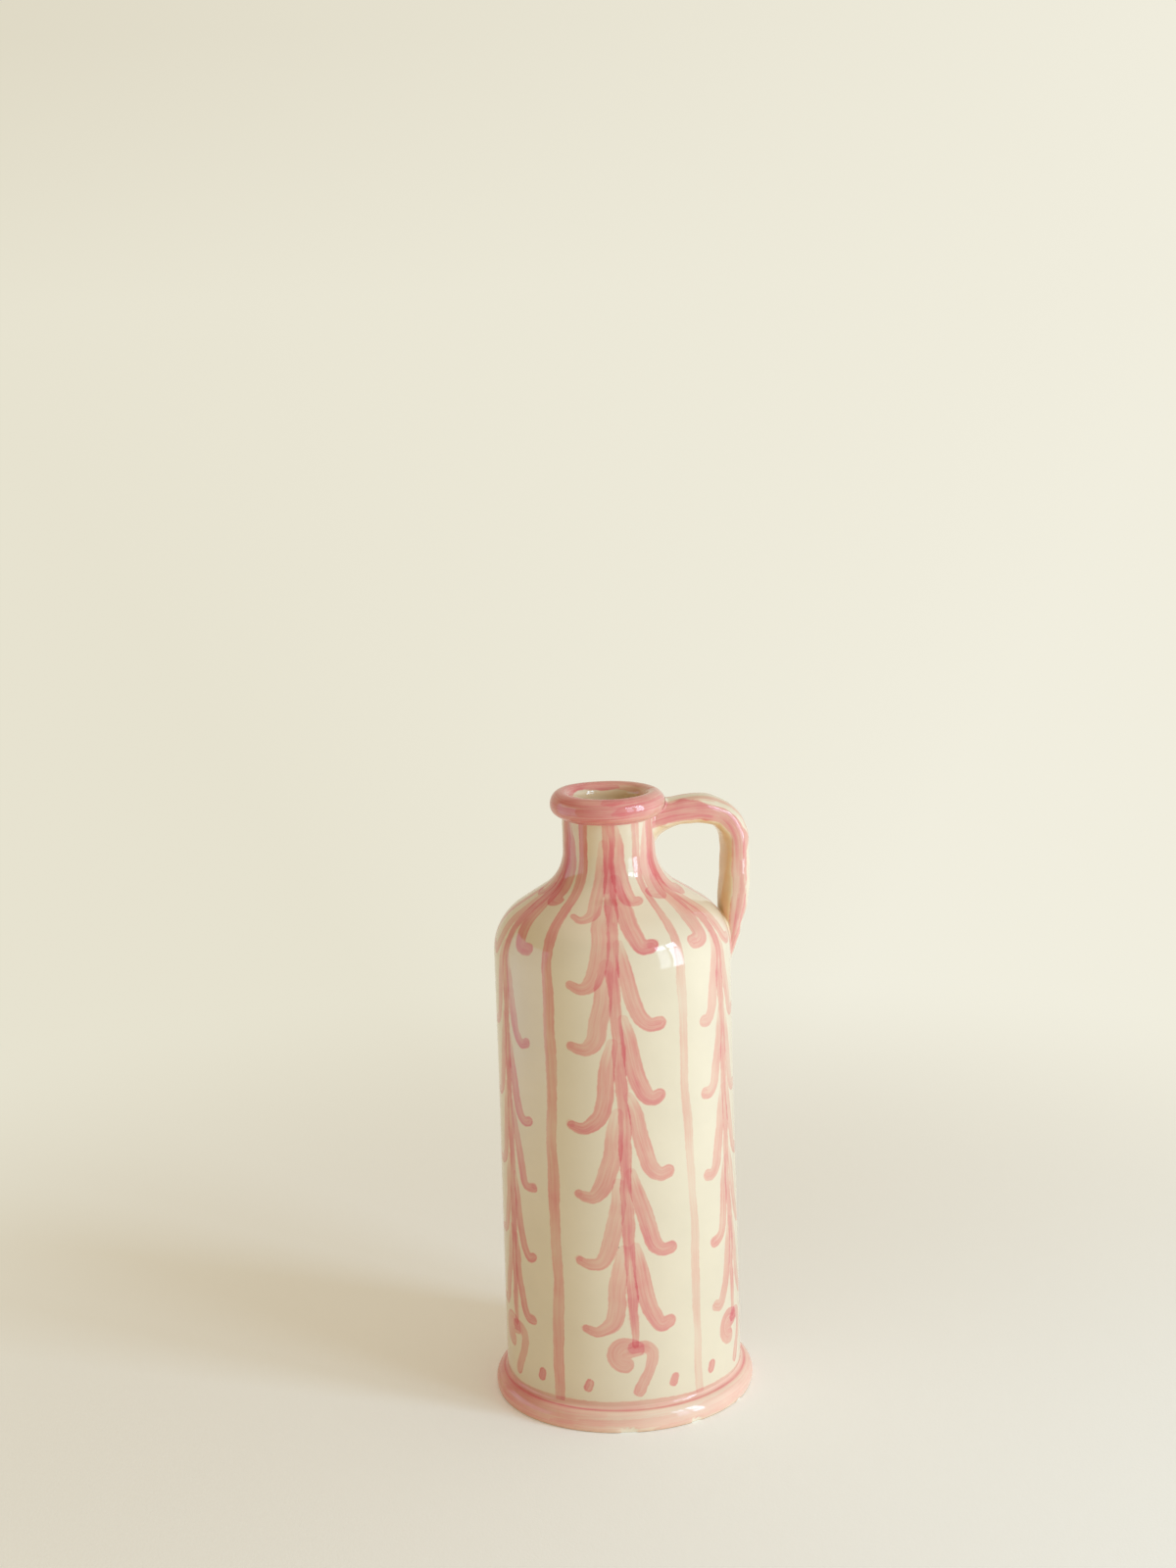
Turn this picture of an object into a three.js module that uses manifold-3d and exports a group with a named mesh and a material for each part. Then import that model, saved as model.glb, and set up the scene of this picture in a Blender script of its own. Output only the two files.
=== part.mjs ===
// Oil cruet in glazed earthenware: a wheel-thrown bottle with a rolled mouth, a rolled foot
// and one pulled strap handle. Millimetres, +Z up. The origin is the middle of the underside,
// and the handle stands over +X.
import * as THREE from 'three';
import { mergeVertices } from 'three/addons/utils/BufferGeometryUtils.js';
import Module from 'manifold-3d';

// Overall sizes
const TOTAL_HEIGHT = 250;
const SHELL = 4.8; // thickness of the thrown wall, shoulder and neck
const FLOOR_THICKNESS = 7;

// Body wall
const BODY_RADIUS = 48.3; // outside, at the foot
const WALL_TAPER = 0.9; // how much smaller the outside radius is at the top of the wall
const FLOOR_FILLET = 4;

// Rolled foot
const FOOT_OVERHANG = 4.8; // how far it stands out from the wall
const FOOT_HEIGHT = 8.4;
const FOOT_WIDEST_Z = 3;
const FOOT_EDGE_ROUND = 0.8; // how far its bottom edge is drawn in

// Shoulder: a round crown, a straight slope and a hollow curve into the neck
const CROWN_RADIUS = 22;
const HOLLOW_RADIUS = 18;
const SLOPE_ANGLE = THREE.MathUtils.degToRad(57); // of the slope, from the vertical

// Neck and mouth
const NECK_RADIUS = 18.4; // outside
const NECK_HEIGHT = 13.6;
const RIM_OVERHANG = 4.6; // how far the rolled mouth stands out from the neck
const RIM_HEIGHT = 9.9;

// Handle strap
const STRAP_WIDTH = 16.2;
const STRAP_THICKNESS = 10.6;
const STRAP_ROOT_WIDTH = 19; // where it is pressed on, top and bottom
const STRAP_TAIL_THICKNESS = 6; // where it dies out down the wall
const STRAP_SQUARENESS = 2.7; // exponent of the strap's rounded section; 2 is an ellipse
const HANDLE_STANDOFF = 4.2; // outside of the wall to the middle of the upright run
const HANDLE_TOP_DROP = 9.6; // top of the mouth down to the middle of the level run
const HANDLE_BEND = 17; // size of the bend between the level and the upright run
const BEND_SQUARENESS = 0.64; // 0.55 makes the bend a quarter circle, and more makes it squarer
const UPPER_ROOT_DROP = 13.2; // top of the mouth down to the buried end's middle
const ROOT_CLIMB = 0.8; // share of the climb to the level run made in its first third
const TAIL_DROP = 8; // foot of the shoulder down to the end of the strap
const TAIL_BOW = 0.6; // how much of the standoff is left a quarter of the way up the upright run
const UPPER_ROOT_DEPTH = 7; // how far the strap's middle line runs on inside the neck's surface
const TAIL_DEPTH = 2.4; // how far the middle line ends up inside the wall's surface
const ROOT_SPREAD = 0.22; // share of the strap's length over which it widens to its upper root
const TAIL_SPREAD = 0.28; // share over which it widens and thins to its tail

// Joints worked on round the two roots of the handle
const CLAY_GAP = 0.3; // between pieces that are pressed together
const JOINT_SETBACK = 1; // from the strap's buried end to the joint's buried end
const UPPER_JOINT_LENGTH = 18; // along the strap
const LOWER_JOINT_LENGTH = 29;
const JOINT_SWELL = 4.4; // thickness of the clay under the strap, at its buried end
const JOINT_SIDE_SHARE = 0.55; // of that thickness, at the strap's two edges
const JOINT_FEATHER = 0.7; // thickness where the clay dies out along the strap
const JOINT_OPEN_SHARE = 0.45; // of the strap's thickness is left bare on its outer face

// Fineness of the faceted surfaces
const ROUND_SIDES = 48;
const ARC_STEPS = 6;
const STRAP_SIDES = 20;
const STRAP_RINGS = 38;
const JOINT_RINGS = 9;
const MERGE_DISTANCE = 1e-3;

// Radii and heights that follow from the sizes above
const WALL_TOP_RADIUS = BODY_RADIUS - WALL_TAPER;
const FOOT_RADIUS = BODY_RADIUS + FOOT_OVERHANG;
const RIM_RADIUS = NECK_RADIUS + RIM_OVERHANG;
const BORE_RADIUS = NECK_RADIUS - SHELL;
const HANDLE_REACH = WALL_TOP_RADIUS + HANDLE_STANDOFF;
const SEAT_Z = TOTAL_HEIGHT - RIM_HEIGHT; // the rolled mouth sits on the neck here
const NECK_Z = SEAT_Z - NECK_HEIGHT;
const SLOPE_LENGTH = (WALL_TOP_RADIUS - NECK_RADIUS
  - (CROWN_RADIUS + HOLLOW_RADIUS) * (1 - Math.cos(SLOPE_ANGLE))) / Math.sin(SLOPE_ANGLE);
const SHOULDER_RISE = (CROWN_RADIUS + HOLLOW_RADIUS) * Math.sin(SLOPE_ANGLE)
  + SLOPE_LENGTH * Math.cos(SLOPE_ANGLE);
const SHOULDER_Z = NECK_Z - SHOULDER_RISE;

const wasm = await Module();
wasm.setup();

const clay = { roughness: 0.9, metalness: 0, color: 0xd9b48c };
const creamGlaze = { roughness: 0.16, metalness: 0, color: 0xefe5c9 };
const pinkGlaze = { roughness: 0.16, metalness: 0, color: 0xd98a86 };

// Points of an ellipse's arc in the (radius, height) plane, angles in radians from +radius.
function arc(centreR, centreZ, sizeR, sizeZ, from, to) {
  return Array.from({ length: ARC_STEPS + 1 }, (_, i) => {
    const angle = from + (to - from) * i / ARC_STEPS;
    return new THREE.Vector2(centreR + sizeR * Math.cos(angle), centreZ + sizeZ * Math.sin(angle));
  });
}

// A closed (radius, height) outline turned about Z.
function turned(outline) {
  return new THREE.LatheGeometry(outline, ROUND_SIDES).rotateX(Math.PI / 2);
}

function closedOutline(points) {
  return [...points, points[0].clone()];
}

// The shoulder's line from its foot up to the neck, grown outwards by the given amount.
function shoulderLine(grow) {
  const crown = arc(WALL_TOP_RADIUS - CROWN_RADIUS, SHOULDER_Z,
    CROWN_RADIUS + grow, CROWN_RADIUS + grow, 0, SLOPE_ANGLE);
  const hollow = arc(NECK_RADIUS + HOLLOW_RADIUS, NECK_Z,
    HOLLOW_RADIUS - grow, HOLLOW_RADIUS - grow, Math.PI + SLOPE_ANGLE, Math.PI);
  return [...crown, ...hollow];
}

function baseDisc() {
  return turned([
    new THREE.Vector2(0, 0),
    new THREE.Vector2(BODY_RADIUS, 0),
    new THREE.Vector2(BODY_RADIUS, FLOOR_THICKNESS),
    new THREE.Vector2(0, FLOOR_THICKNESS),
  ]);
}

function footRoll() {
  const crown = arc(BODY_RADIUS, FOOT_WIDEST_Z,
    FOOT_RADIUS - BODY_RADIUS, FOOT_HEIGHT - FOOT_WIDEST_Z, 0, Math.PI / 2);
  const edge = arc(FOOT_RADIUS - FOOT_EDGE_ROUND, FOOT_WIDEST_Z,
    FOOT_EDGE_ROUND, FOOT_WIDEST_Z, -Math.PI / 2, 0);
  edge.pop();
  return turned(closedOutline([new THREE.Vector2(BODY_RADIUS, 0), ...edge, ...crown]));
}

function bodyWall() {
  const inside = BODY_RADIUS - SHELL;
  const fillet = arc(inside - FLOOR_FILLET, FLOOR_THICKNESS + FLOOR_FILLET,
    FLOOR_FILLET, FLOOR_FILLET, 0, -Math.PI / 2);
  return turned(closedOutline([
    new THREE.Vector2(BODY_RADIUS, FLOOR_THICKNESS),
    new THREE.Vector2(WALL_TOP_RADIUS, SHOULDER_Z),
    new THREE.Vector2(WALL_TOP_RADIUS - SHELL, SHOULDER_Z),
    ...fillet,
  ]));
}

function shoulder() {
  return turned(closedOutline([...shoulderLine(0), ...shoulderLine(-SHELL).reverse()]));
}

function neck() {
  return turned(closedOutline([
    new THREE.Vector2(BORE_RADIUS, NECK_Z),
    new THREE.Vector2(NECK_RADIUS, NECK_Z),
    new THREE.Vector2(NECK_RADIUS, SEAT_Z),
    new THREE.Vector2(BORE_RADIUS, SEAT_Z),
  ]));
}

// The rolled mouth's outline, grown by the given amount. Its underside is flat on the neck.
function rimOutline(grow) {
  const middleR = (BORE_RADIUS + RIM_RADIUS) / 2;
  const middleZ = SEAT_Z + RIM_HEIGHT / 2;
  const sizeR = RIM_RADIUS - middleR + grow;
  const sizeZ = RIM_HEIGHT / 2 + grow;
  return [
    new THREE.Vector2(BORE_RADIUS - grow, SEAT_Z - grow),
    ...arc(middleR, middleZ, sizeR, sizeZ, -Math.PI / 2, Math.PI / 2),
    ...arc(middleR, middleZ, sizeR, sizeZ, Math.PI / 2, Math.PI).slice(1),
  ];
}

function rimRoll() {
  return turned(closedOutline(rimOutline(0)));
}

// The pot's whole outer form as one solid body, grown outwards by the given amount.
function potForm(grow) {
  const body = turned([
    new THREE.Vector2(0, 0),
    new THREE.Vector2(BODY_RADIUS + grow, 0),
    ...shoulderLine(grow),
    new THREE.Vector2(NECK_RADIUS + grow, TOTAL_HEIGHT - RIM_HEIGHT / 2),
    new THREE.Vector2(0, TOTAL_HEIGHT - RIM_HEIGHT / 2),
  ]);
  return solid(body).add(solid(turned(closedOutline(rimOutline(grow)))));
}

// The strap's middle line in the XZ plane, from inside the neck over and down into the wall.
function strapPath() {
  const levelZ = TOTAL_HEIGHT - HANDLE_TOP_DROP;
  const rootZ = TOTAL_HEIGHT - UPPER_ROOT_DROP;
  const rootX = NECK_RADIUS - UPPER_ROOT_DEPTH;
  const bendX = HANDLE_REACH - HANDLE_BEND;
  const bendZ = levelZ - HANDLE_BEND;
  const endX = WALL_TOP_RADIUS - TAIL_DEPTH;
  const endZ = SHOULDER_Z - TAIL_DROP;
  const corner = HANDLE_BEND * BEND_SQUARENESS;
  const levelThird = (bendX - rootX) / 3;
  const drop = bendZ - endZ;
  const at = (x, z) => new THREE.Vector3(x, 0, z);
  const path = new THREE.CurvePath();
  path.add(new THREE.CubicBezierCurve3(
    at(rootX, rootZ), at(rootX + levelThird, rootZ + (levelZ - rootZ) * ROOT_CLIMB),
    at(bendX - levelThird, levelZ), at(bendX, levelZ)));
  path.add(new THREE.CubicBezierCurve3(
    at(bendX, levelZ), at(bendX + corner, levelZ),
    at(HANDLE_REACH, bendZ + corner), at(HANDLE_REACH, bendZ)));
  path.add(new THREE.CubicBezierCurve3(
    at(HANDLE_REACH, bendZ), at(HANDLE_REACH, bendZ - drop / 3),
    at(endX + (HANDLE_REACH - endX) * TAIL_BOW, endZ + drop / 4), at(endX, endZ)));
  return path;
}

const STRAP_PATH = strapPath();
const STRAP_LENGTH = STRAP_PATH.getLength();

// Half the strap's width and thickness at a share of its length.
function strapHalfSizes(share) {
  const nearRoot = 1 - THREE.MathUtils.smoothstep(share, 0, ROOT_SPREAD);
  const nearTail = THREE.MathUtils.smoothstep(share, 1 - TAIL_SPREAD, 1);
  return {
    width: (STRAP_WIDTH + (STRAP_ROOT_WIDTH - STRAP_WIDTH) * Math.max(nearRoot, nearTail)) / 2,
    thickness: (STRAP_THICKNESS + (STRAP_TAIL_THICKNESS - STRAP_THICKNESS) * nearTail) / 2,
  };
}

// One closed ring of the strap's rounded section, grown at its edges, its inner face (towards
// the pot) and its outer face by the given amounts.
function strapRing(share, grow) {
  const centre = STRAP_PATH.getPointAt(share);
  const along = STRAP_PATH.getTangentAt(share);
  const across = new THREE.Vector3(0, 1, 0);
  const outward = new THREE.Vector3().crossVectors(along, across);
  const half = strapHalfSizes(share);
  const rounded = (value) => Math.sign(value) * Math.abs(value) ** (2 / STRAP_SQUARENESS);
  return Array.from({ length: STRAP_SIDES }, (_, i) => {
    const angle = 2 * Math.PI * i / STRAP_SIDES;
    const depth = half.thickness + (i < STRAP_SIDES / 2 ? grow.outer : grow.inner);
    return centre.clone()
      .addScaledVector(across, (half.width + grow.side) * rounded(Math.cos(angle)))
      .addScaledVector(outward, depth * rounded(Math.sin(angle)));
  });
}

// A closed skin through rings of equally many points, with a fan over each end.
function skinned(rings) {
  const sides = rings[0].length;
  const points = rings.flat();
  const middle = (ring) => ring.reduce((sum, p) => sum.add(p), new THREE.Vector3()).divideScalar(sides);
  const start = points.push(middle(rings[0])) - 1;
  const end = points.push(middle(rings.at(-1))) - 1;
  const index = [];
  for (let r = 0; r + 1 < rings.length; r++) {
    for (let s = 0; s < sides; s++) {
      const a = r * sides + s;
      const b = r * sides + (s + 1) % sides;
      index.push(a, b, a + sides, b, b + sides, a + sides);
    }
  }
  const last = (rings.length - 1) * sides;
  for (let s = 0; s < sides; s++) {
    const next = (s + 1) % sides;
    index.push(start, next, s, end, last + s, last + next);
  }
  return new THREE.BufferGeometry().setFromPoints(points).setIndex(index);
}

// The whole strap, grown all round by the given amount.
function wholeStrap(grow) {
  const all = { side: grow, inner: grow, outer: grow };
  return skinned(Array.from({ length: STRAP_RINGS }, (_, i) => strapRing(i / (STRAP_RINGS - 1), all)));
}

// A geometry as a manifold-3d solid, and a manifold-3d solid as a geometry.
function solid(geometry) {
  const bare = geometry.clone();
  bare.deleteAttribute('normal');
  bare.deleteAttribute('uv');
  const merged = mergeVertices(bare, MERGE_DISTANCE);
  return new wasm.Manifold(new wasm.Mesh({
    numProp: 3,
    vertProperties: merged.attributes.position.array,
    triVerts: new Uint32Array(merged.index.array),
  }));
}

function geometryOf(made) {
  const biggest = made.decompose().reduce((a, b) => (a.volume() > b.volume() ? a : b));
  const mesh = biggest.getMesh();
  return new THREE.BufferGeometry()
    .setAttribute('position', new THREE.BufferAttribute(mesh.vertProperties, 3))
    .setIndex(new THREE.BufferAttribute(mesh.triVerts, 1));
}

function handleStrap() {
  return geometryOf(solid(wholeStrap(0)).subtract(potForm(CLAY_GAP)));
}

// Clay worked on under one root of the strap and up its two edges: thickest where the strap is
// buried in the pot, and feathered out along the strap.
function handleJoint(length, atTail) {
  const rings = Array.from({ length: JOINT_RINGS }, (_, i) => {
    const out = i / (JOINT_RINGS - 1);
    const travel = (JOINT_SETBACK + out * length) / STRAP_LENGTH;
    const share = atTail ? 1 - travel : travel;
    const swell = JOINT_FEATHER + (JOINT_SWELL - JOINT_FEATHER) * (1 - out) ** 2;
    const open = JOINT_OPEN_SHARE * strapHalfSizes(share).thickness;
    return strapRing(share, { side: swell * JOINT_SIDE_SHARE, inner: swell, outer: -open });
  });
  const collar = solid(skinned(atTail ? rings.reverse() : rings));
  return geometryOf(collar.subtract(solid(wholeStrap(CLAY_GAP))).subtract(potForm(CLAY_GAP)));
}

const cruet = new THREE.Group();

function addPiece(name, geometry, material) {
  const piece = new THREE.Mesh(geometry, new THREE.MeshStandardMaterial(material));
  piece.name = name;
  cruet.add(piece);
}

addPiece('base_disc', baseDisc(), clay);
addPiece('foot_roll', footRoll(), pinkGlaze);
addPiece('body_wall', bodyWall(), creamGlaze);
addPiece('shoulder', shoulder(), creamGlaze);
addPiece('neck', neck(), creamGlaze);
addPiece('rim_roll', rimRoll(), pinkGlaze);
addPiece('handle_strap', handleStrap(), pinkGlaze);
addPiece('upper_handle_joint', handleJoint(UPPER_JOINT_LENGTH, false), creamGlaze);
addPiece('lower_handle_joint', handleJoint(LOWER_JOINT_LENGTH, true), creamGlaze);

export default cruet;
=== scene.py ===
"""Oil cruet: a hand-thrown, hand-painted bottle with a strap handle, made around its CAD frame."""

import math

import bpy
import numpy as np
from bpy.props import FloatProperty, FloatVectorProperty, IntProperty, PointerProperty
from mathutils import Matrix, Vector


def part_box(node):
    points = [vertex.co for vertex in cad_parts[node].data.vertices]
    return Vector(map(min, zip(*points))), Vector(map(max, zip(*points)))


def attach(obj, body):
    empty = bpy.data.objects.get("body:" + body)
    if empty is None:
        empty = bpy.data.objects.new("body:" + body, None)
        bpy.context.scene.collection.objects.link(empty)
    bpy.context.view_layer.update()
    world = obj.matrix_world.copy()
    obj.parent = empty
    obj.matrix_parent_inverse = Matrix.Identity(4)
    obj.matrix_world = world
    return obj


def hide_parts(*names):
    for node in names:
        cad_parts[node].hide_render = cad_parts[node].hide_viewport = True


bl_info = {
    "name": "Oil Cruet",
    "version": (1, 0, 0),
    "blender": (4, 5, 0),
    "location": "3D View > Sidebar > Oil Cruet",
    "description": "Throws, paints and glazes an oil cruet around its packed CAD frame",
    "category": "Add Mesh",
}

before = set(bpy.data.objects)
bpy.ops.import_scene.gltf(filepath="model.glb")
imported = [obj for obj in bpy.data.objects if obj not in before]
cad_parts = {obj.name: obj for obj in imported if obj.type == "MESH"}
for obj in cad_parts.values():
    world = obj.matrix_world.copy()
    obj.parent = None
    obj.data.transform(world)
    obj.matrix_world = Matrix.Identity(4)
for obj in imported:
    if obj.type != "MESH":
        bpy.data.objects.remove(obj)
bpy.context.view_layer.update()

MM = 0.001
FULL_TURN = 2 * math.pi
ROOT = "root"

# Fineness of the meshes, in mm or in steps
ROUND_COLUMNS = 296
OUTSIDE_STEP = 1.0
INSIDE_STEP = 5.0
RING_STEP = 0.45
STRAP_STEP = 0.8
STRAP_SIDES = 72
FILLET_SIDES = 120
FILLET_STEPS = 10
FLOOR_SIDES = 96
ARC_STEPS = 24
RIM_STEPS = 72
CURVE_STEPS = 7
# Way from a closed outline's last point back to its first, in mm
SEAM = 2
# Faces that meet at a wider angle than this show a sharp edge, in degrees
SHARP_ANGLE = 55

# A point further than this from every brush stroke is not painted, in mm
FAR = 4.0
# Place up the outline that hidden and inner faces are given, so that no stroke reaches them, in mm
UNREACHED = -50.0
# Keeps the bristle marks of one stroke unlike those of the next, in mm
STROKE_GAP = 61.0


# Sizes and colours that a maker would change

def length(name, description, default):
    return FloatProperty(name=name, description=description, default=default, unit="LENGTH", precision=5)


def share(name, description, default):
    return FloatProperty(name=name, description=description, default=default, subtype="FACTOR", min=0)


def angle(name, description, degrees):
    return FloatProperty(name=name, description=description, default=math.radians(degrees), subtype="ANGLE")


def colour(name, description, default):
    return FloatVectorProperty(name=name, description=description, default=default, size=3, subtype="COLOR",
                               min=0, soft_max=1)


class CruetClay(bpy.types.PropertyGroup):
    """The thrown and pulled clay, where the CAD pieces' boxes don't give it."""

    crown_radius: length("Crown radius", "Round of the shoulder above the wall", 0.022)
    hollow_radius: length("Hollow radius", "Round of the shoulder below the neck", 0.018)
    slope_angle: angle("Slope angle", "Slope of the shoulder, from upright", 57)
    ridge_pitch: length("Throwing ridge pitch", "Rise of the fingers in one turn of the wheel", 0.0072)
    ridge_depth: length("Throwing ridge depth", "Height of the ridges left by the fingers", 0.000028)
    out_of_round: length("Out of round", "How far the pot is from a true circle", 0.00022)
    waist: length("Waist", "How far the wall draws in at its middle", 0.00025)
    glaze_pool: length("Glaze pool", "Size of the glaze that fills a crease", 0.0012)
    strap_thickness: length("Strap thickness", "Thickness of the pulled strap", 0.0112)
    strap_width: length("Strap width", "Width of the pulled strap", 0.0162)
    strap_spread: length("Strap spread", "Width of the strap where it joins the pot", 0.0190)
    strap_tail: length("Strap tail", "Thickness of the strap's pressed-down end", 0.0060)
    strap_bend: length("Strap bend", "Size of the strap's bend", 0.0170)
    strap_unevenness: length("Strap unevenness", "Unevenness that the hand leaves on the strap", 0.00030)


class CruetPaint(bpy.types.PropertyGroup):
    """The brush strokes: leafy columns with plain lines between them."""

    facing: angle("Facing", "Direction of the first column from the handle's side", -100.2)
    lowest_tip: length("Lowest leaf tip", "Height of the lowest pair of leaf tips", 0.0430)
    leaf_pitch: length("Leaf pitch", "Rise from one pair of leaves to the next", 0.0288)
    leaf_reach: length("Leaf reach", "Distance of a leaf's tip from its stem", 0.0196)
    leaf_width: length("Leaf width", "Width of a leaf's broad wash", 0.0074)
    hook_width: length("Hook width", "Width of a leaf where the brush turns outwards", 0.0046)
    stem_width: length("Stem width", "Width of the stems", 0.0048)
    line_width: length("Line width", "Width of the plain lines", 0.0045)
    dot_height: length("Dot height", "Height of the dots above the table", 0.0190)
    band_top: length("Band top", "Top of the pink band over the foot", 0.0112)
    unevenness: length("Unevenness", "How far the hand strays from the plan", 0.0011)
    seed: IntProperty(name="Seed", description="Another hand, another set of small differences", default=7)


class CruetGlaze(bpy.types.PropertyGroup):
    """Colours and shine of the glaze, the pigment and the bare clay."""

    cream: colour("Cream glaze", "The clear glaze over pale slip", (0.86, 0.77, 0.59))
    # A brighter copy of the cream glaze for the foot: painted light, for the light that falls on the foot's
    # roll
    lit_foot_cream: colour("Foot cream", "Paler glaze under the foot's pink", (0.97, 0.87, 0.70))
    pigment: colour("Pigment", "What a full load of pigment lets through", (0.92, 0.46, 0.54))
    wash: colour("Pigment wash", "Colour that a thin wash of the pigment leans to", (0.93, 0.46, 0.45))
    # The tan of thin glaze, which also paints shade inside the bottle and the mouth and on the neck's dim
    # side
    thin_glaze_and_shade: colour("Thin glaze", "Glaze so thin that the clay shows", (0.90, 0.67, 0.38))
    clay: colour("Bare clay", "Unglazed clay", (0.66, 0.47, 0.31))
    roughness: share("Roughness", "Roughness of the glaze", 0.07)
    bare_roughness: share("Bare roughness", "Roughness of the unglazed clay", 0.92)
    peel: length("Glaze ripple", "Height of the glaze's soft ripple", 0.000030)


class CruetStage(bpy.types.PropertyGroup):
    """Floor, backdrop, window light, soft fill and camera."""

    floor: colour("Floor", "Colour of the paper under the cruet", (0.958, 0.98, 0.95))
    backdrop: colour("Backdrop", "Colour of the backdrop to the right", (0.88, 0.855, 0.735))
    backdrop_left: colour("Backdrop left", "Its colour low to the left", (0.80, 0.765, 0.63))
    backdrop_top: colour("Backdrop top left", "Its colour high to the left", (0.735, 0.69, 0.555))
    paper_glow: share("Paper glow", "Light that shines through the paper", 0.115)
    room: colour("Room", "Dim room, mirrored in the glaze", (0.20, 0.17, 0.15))
    beside_window: colour("Beside window", "Wall by the window, mirrored in the glaze", (1.30, 1.30, 1.25))
    far_wall: colour("Far wall", "Wall across from the window, mirrored in the glaze", (1.05, 1.22, 1.60))
    ceiling: colour("Ceiling", "Pale ceiling, mirrored in the glaze", (1.45, 1.22, 0.95))
    fill_bright: colour("Fill by the window", "Soft light from the window's side", (0.56, 0.46, 0.31))
    fill_dim: colour("Fill away from the window", "Soft light from the room's side", (0.24, 0.13, 0.02))
    fill_above: colour("Fill from above", "Soft light from the ceiling", (0.76, 0.68, 0.54))
    window: colour("Window light", "Colour of the window's light", (0.61, 0.79, 1.0))
    window_radiance: FloatProperty(name="Window brightness", description="Panes' radiance", default=8.1)
    window_azimuth: angle("Window azimuth", "Direction of the window from the handle's side", -45)
    window_distance: length("Window distance", "Distance of the window from the cruet", 1.15)
    window_width: length("Window width", "Width of the window", 0.56)
    window_height: length("Window height", "Height of the window", 0.95)
    window_sill: length("Window sill", "Height of the window's lower edge", 0.01)
    lens: FloatProperty(name="Lens", description="Focal length of the camera", default=56.8, unit="CAMERA")


# Small helpers

def mm(value):
    """Metres as mm."""
    return value / MM


def node_box(name):
    """The lowest and the highest corner of a CAD node, in mm."""
    low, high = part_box(name)
    return np.array(low) / MM, np.array(high) / MM


def smooth(value, start, stop):
    """Rises softly from 0 at the start to 1 at the stop."""
    part = np.clip((np.asarray(value, float) - start) / (stop - start), 0, 1)
    return part * part * (3 - 2 * part)


def wrapped(turn):
    """An angle brought to within half a turn of 0."""
    return (turn + math.pi) % FULL_TURN - math.pi


def bell(value, middle, spread):
    """A soft peak: 1 in the middle, falling to 0 on both sides."""
    return np.exp(-((value - middle) / spread) ** 2)


def arc(centre, sizes, start, stop, steps):
    """Points on a stretch of an ellipse."""
    turn = np.linspace(start, stop, steps + 1)
    return np.stack([centre[0] + sizes[0] * np.cos(turn), centre[1] + sizes[1] * np.sin(turn)], 1)


def bezier(points, steps):
    """A smooth curve from the first point to the last, drawn towards those between."""
    t = np.linspace(0, 1, steps + 1)[:, None]
    rows = [np.asarray(p, float)[None] for p in points]
    while len(rows) > 1:
        rows = [(1 - t) * a + t * b for a, b in zip(rows, rows[1:])]
    return rows[0]


def through(points, steps):
    """A smooth curve through points, whatever they hold beside their place."""
    points = np.asarray(points, float)
    padded = np.concatenate([2 * points[:1] - points[1:2], points, 2 * points[-1:] - points[-2:-1]])
    t = np.linspace(0, 1, steps, endpoint=False)[:, None]
    parts = []
    for a, b, c, d in zip(padded, padded[1:], padded[2:], padded[3:]):
        slope = (c - a) / 2
        bend = (2 * a - 5 * b + 4 * c - d) / 2
        twist = (3 * b - a - 3 * c + d) / 2
        parts.append(b + slope * t + bend * t ** 2 + twist * t ** 3)
    return np.concatenate(parts + [points[-1:]])


def travelled(points):
    """How far along a line each of its points lies."""
    steps = np.linalg.norm(np.diff(points, axis=0), axis=1)
    return np.concatenate([[0], np.cumsum(steps)])


def resampled(points, step):
    """The same line with its points an even step apart."""
    points = np.asarray(points, float)
    place = travelled(points)
    count = max(2, int(round(place[-1] / step)))
    wanted = np.linspace(0, place[-1], count + 1)
    return np.stack([np.interp(wanted, place, points[:, k]) for k in range(points.shape[1])], 1)


def joined(*parts):
    """Lines laid end to end, with no point twice."""
    line = [np.asarray(parts[0], float)]
    for part in parts[1:]:
        part = np.asarray(part, float)
        line.append(part[1:] if np.allclose(part[0], line[-1][-1]) else part)
    return np.concatenate(line)


def wander(rng, span, size):
    """A smooth wavy line: a function that gives its offset at a place."""
    phases = rng.uniform(0, FULL_TURN, 3)
    parts = ((1.0, 1.0), (2.3, 0.5), (4.1, 0.25))

    def offset(place):
        waves = [weight * np.sin(FULL_TURN * pace * place / span + phase)
                 for (pace, weight), phase in zip(parts, phases)]
        return size * sum(waves) / 1.3

    return offset


class Measures:
    """The pot's radii and heights in mm, from the CAD pieces' boxes."""

    def __init__(self):
        wall_low, wall_high = node_box("body_wall")
        neck_low, neck_high = node_box("neck")
        foot_high = node_box("foot_roll")[1]
        rim_high = node_box("rim_roll")[1]
        strap_high = node_box("handle_strap")[1]
        neck_points = np.array([v.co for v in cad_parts["neck"].data.vertices]) / MM
        self.body_radius = wall_high[1]
        self.floor_top = wall_low[2]
        self.wall_top = wall_high[2]
        self.wall_top_radius = node_box("shoulder")[1][1]
        self.neck_radius = neck_high[1]
        self.neck_bottom = neck_low[2]
        self.seat = neck_high[2]
        self.bore = np.hypot(neck_points[:, 0], neck_points[:, 1]).min()
        self.shell = self.neck_radius - self.bore
        self.foot_radius = foot_high[1]
        self.foot_height = foot_high[2]
        self.rim_radius = rim_high[1]
        self.height = rim_high[2]
        self.strap_reach = strap_high[0]
        self.strap_top = strap_high[2]


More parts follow.
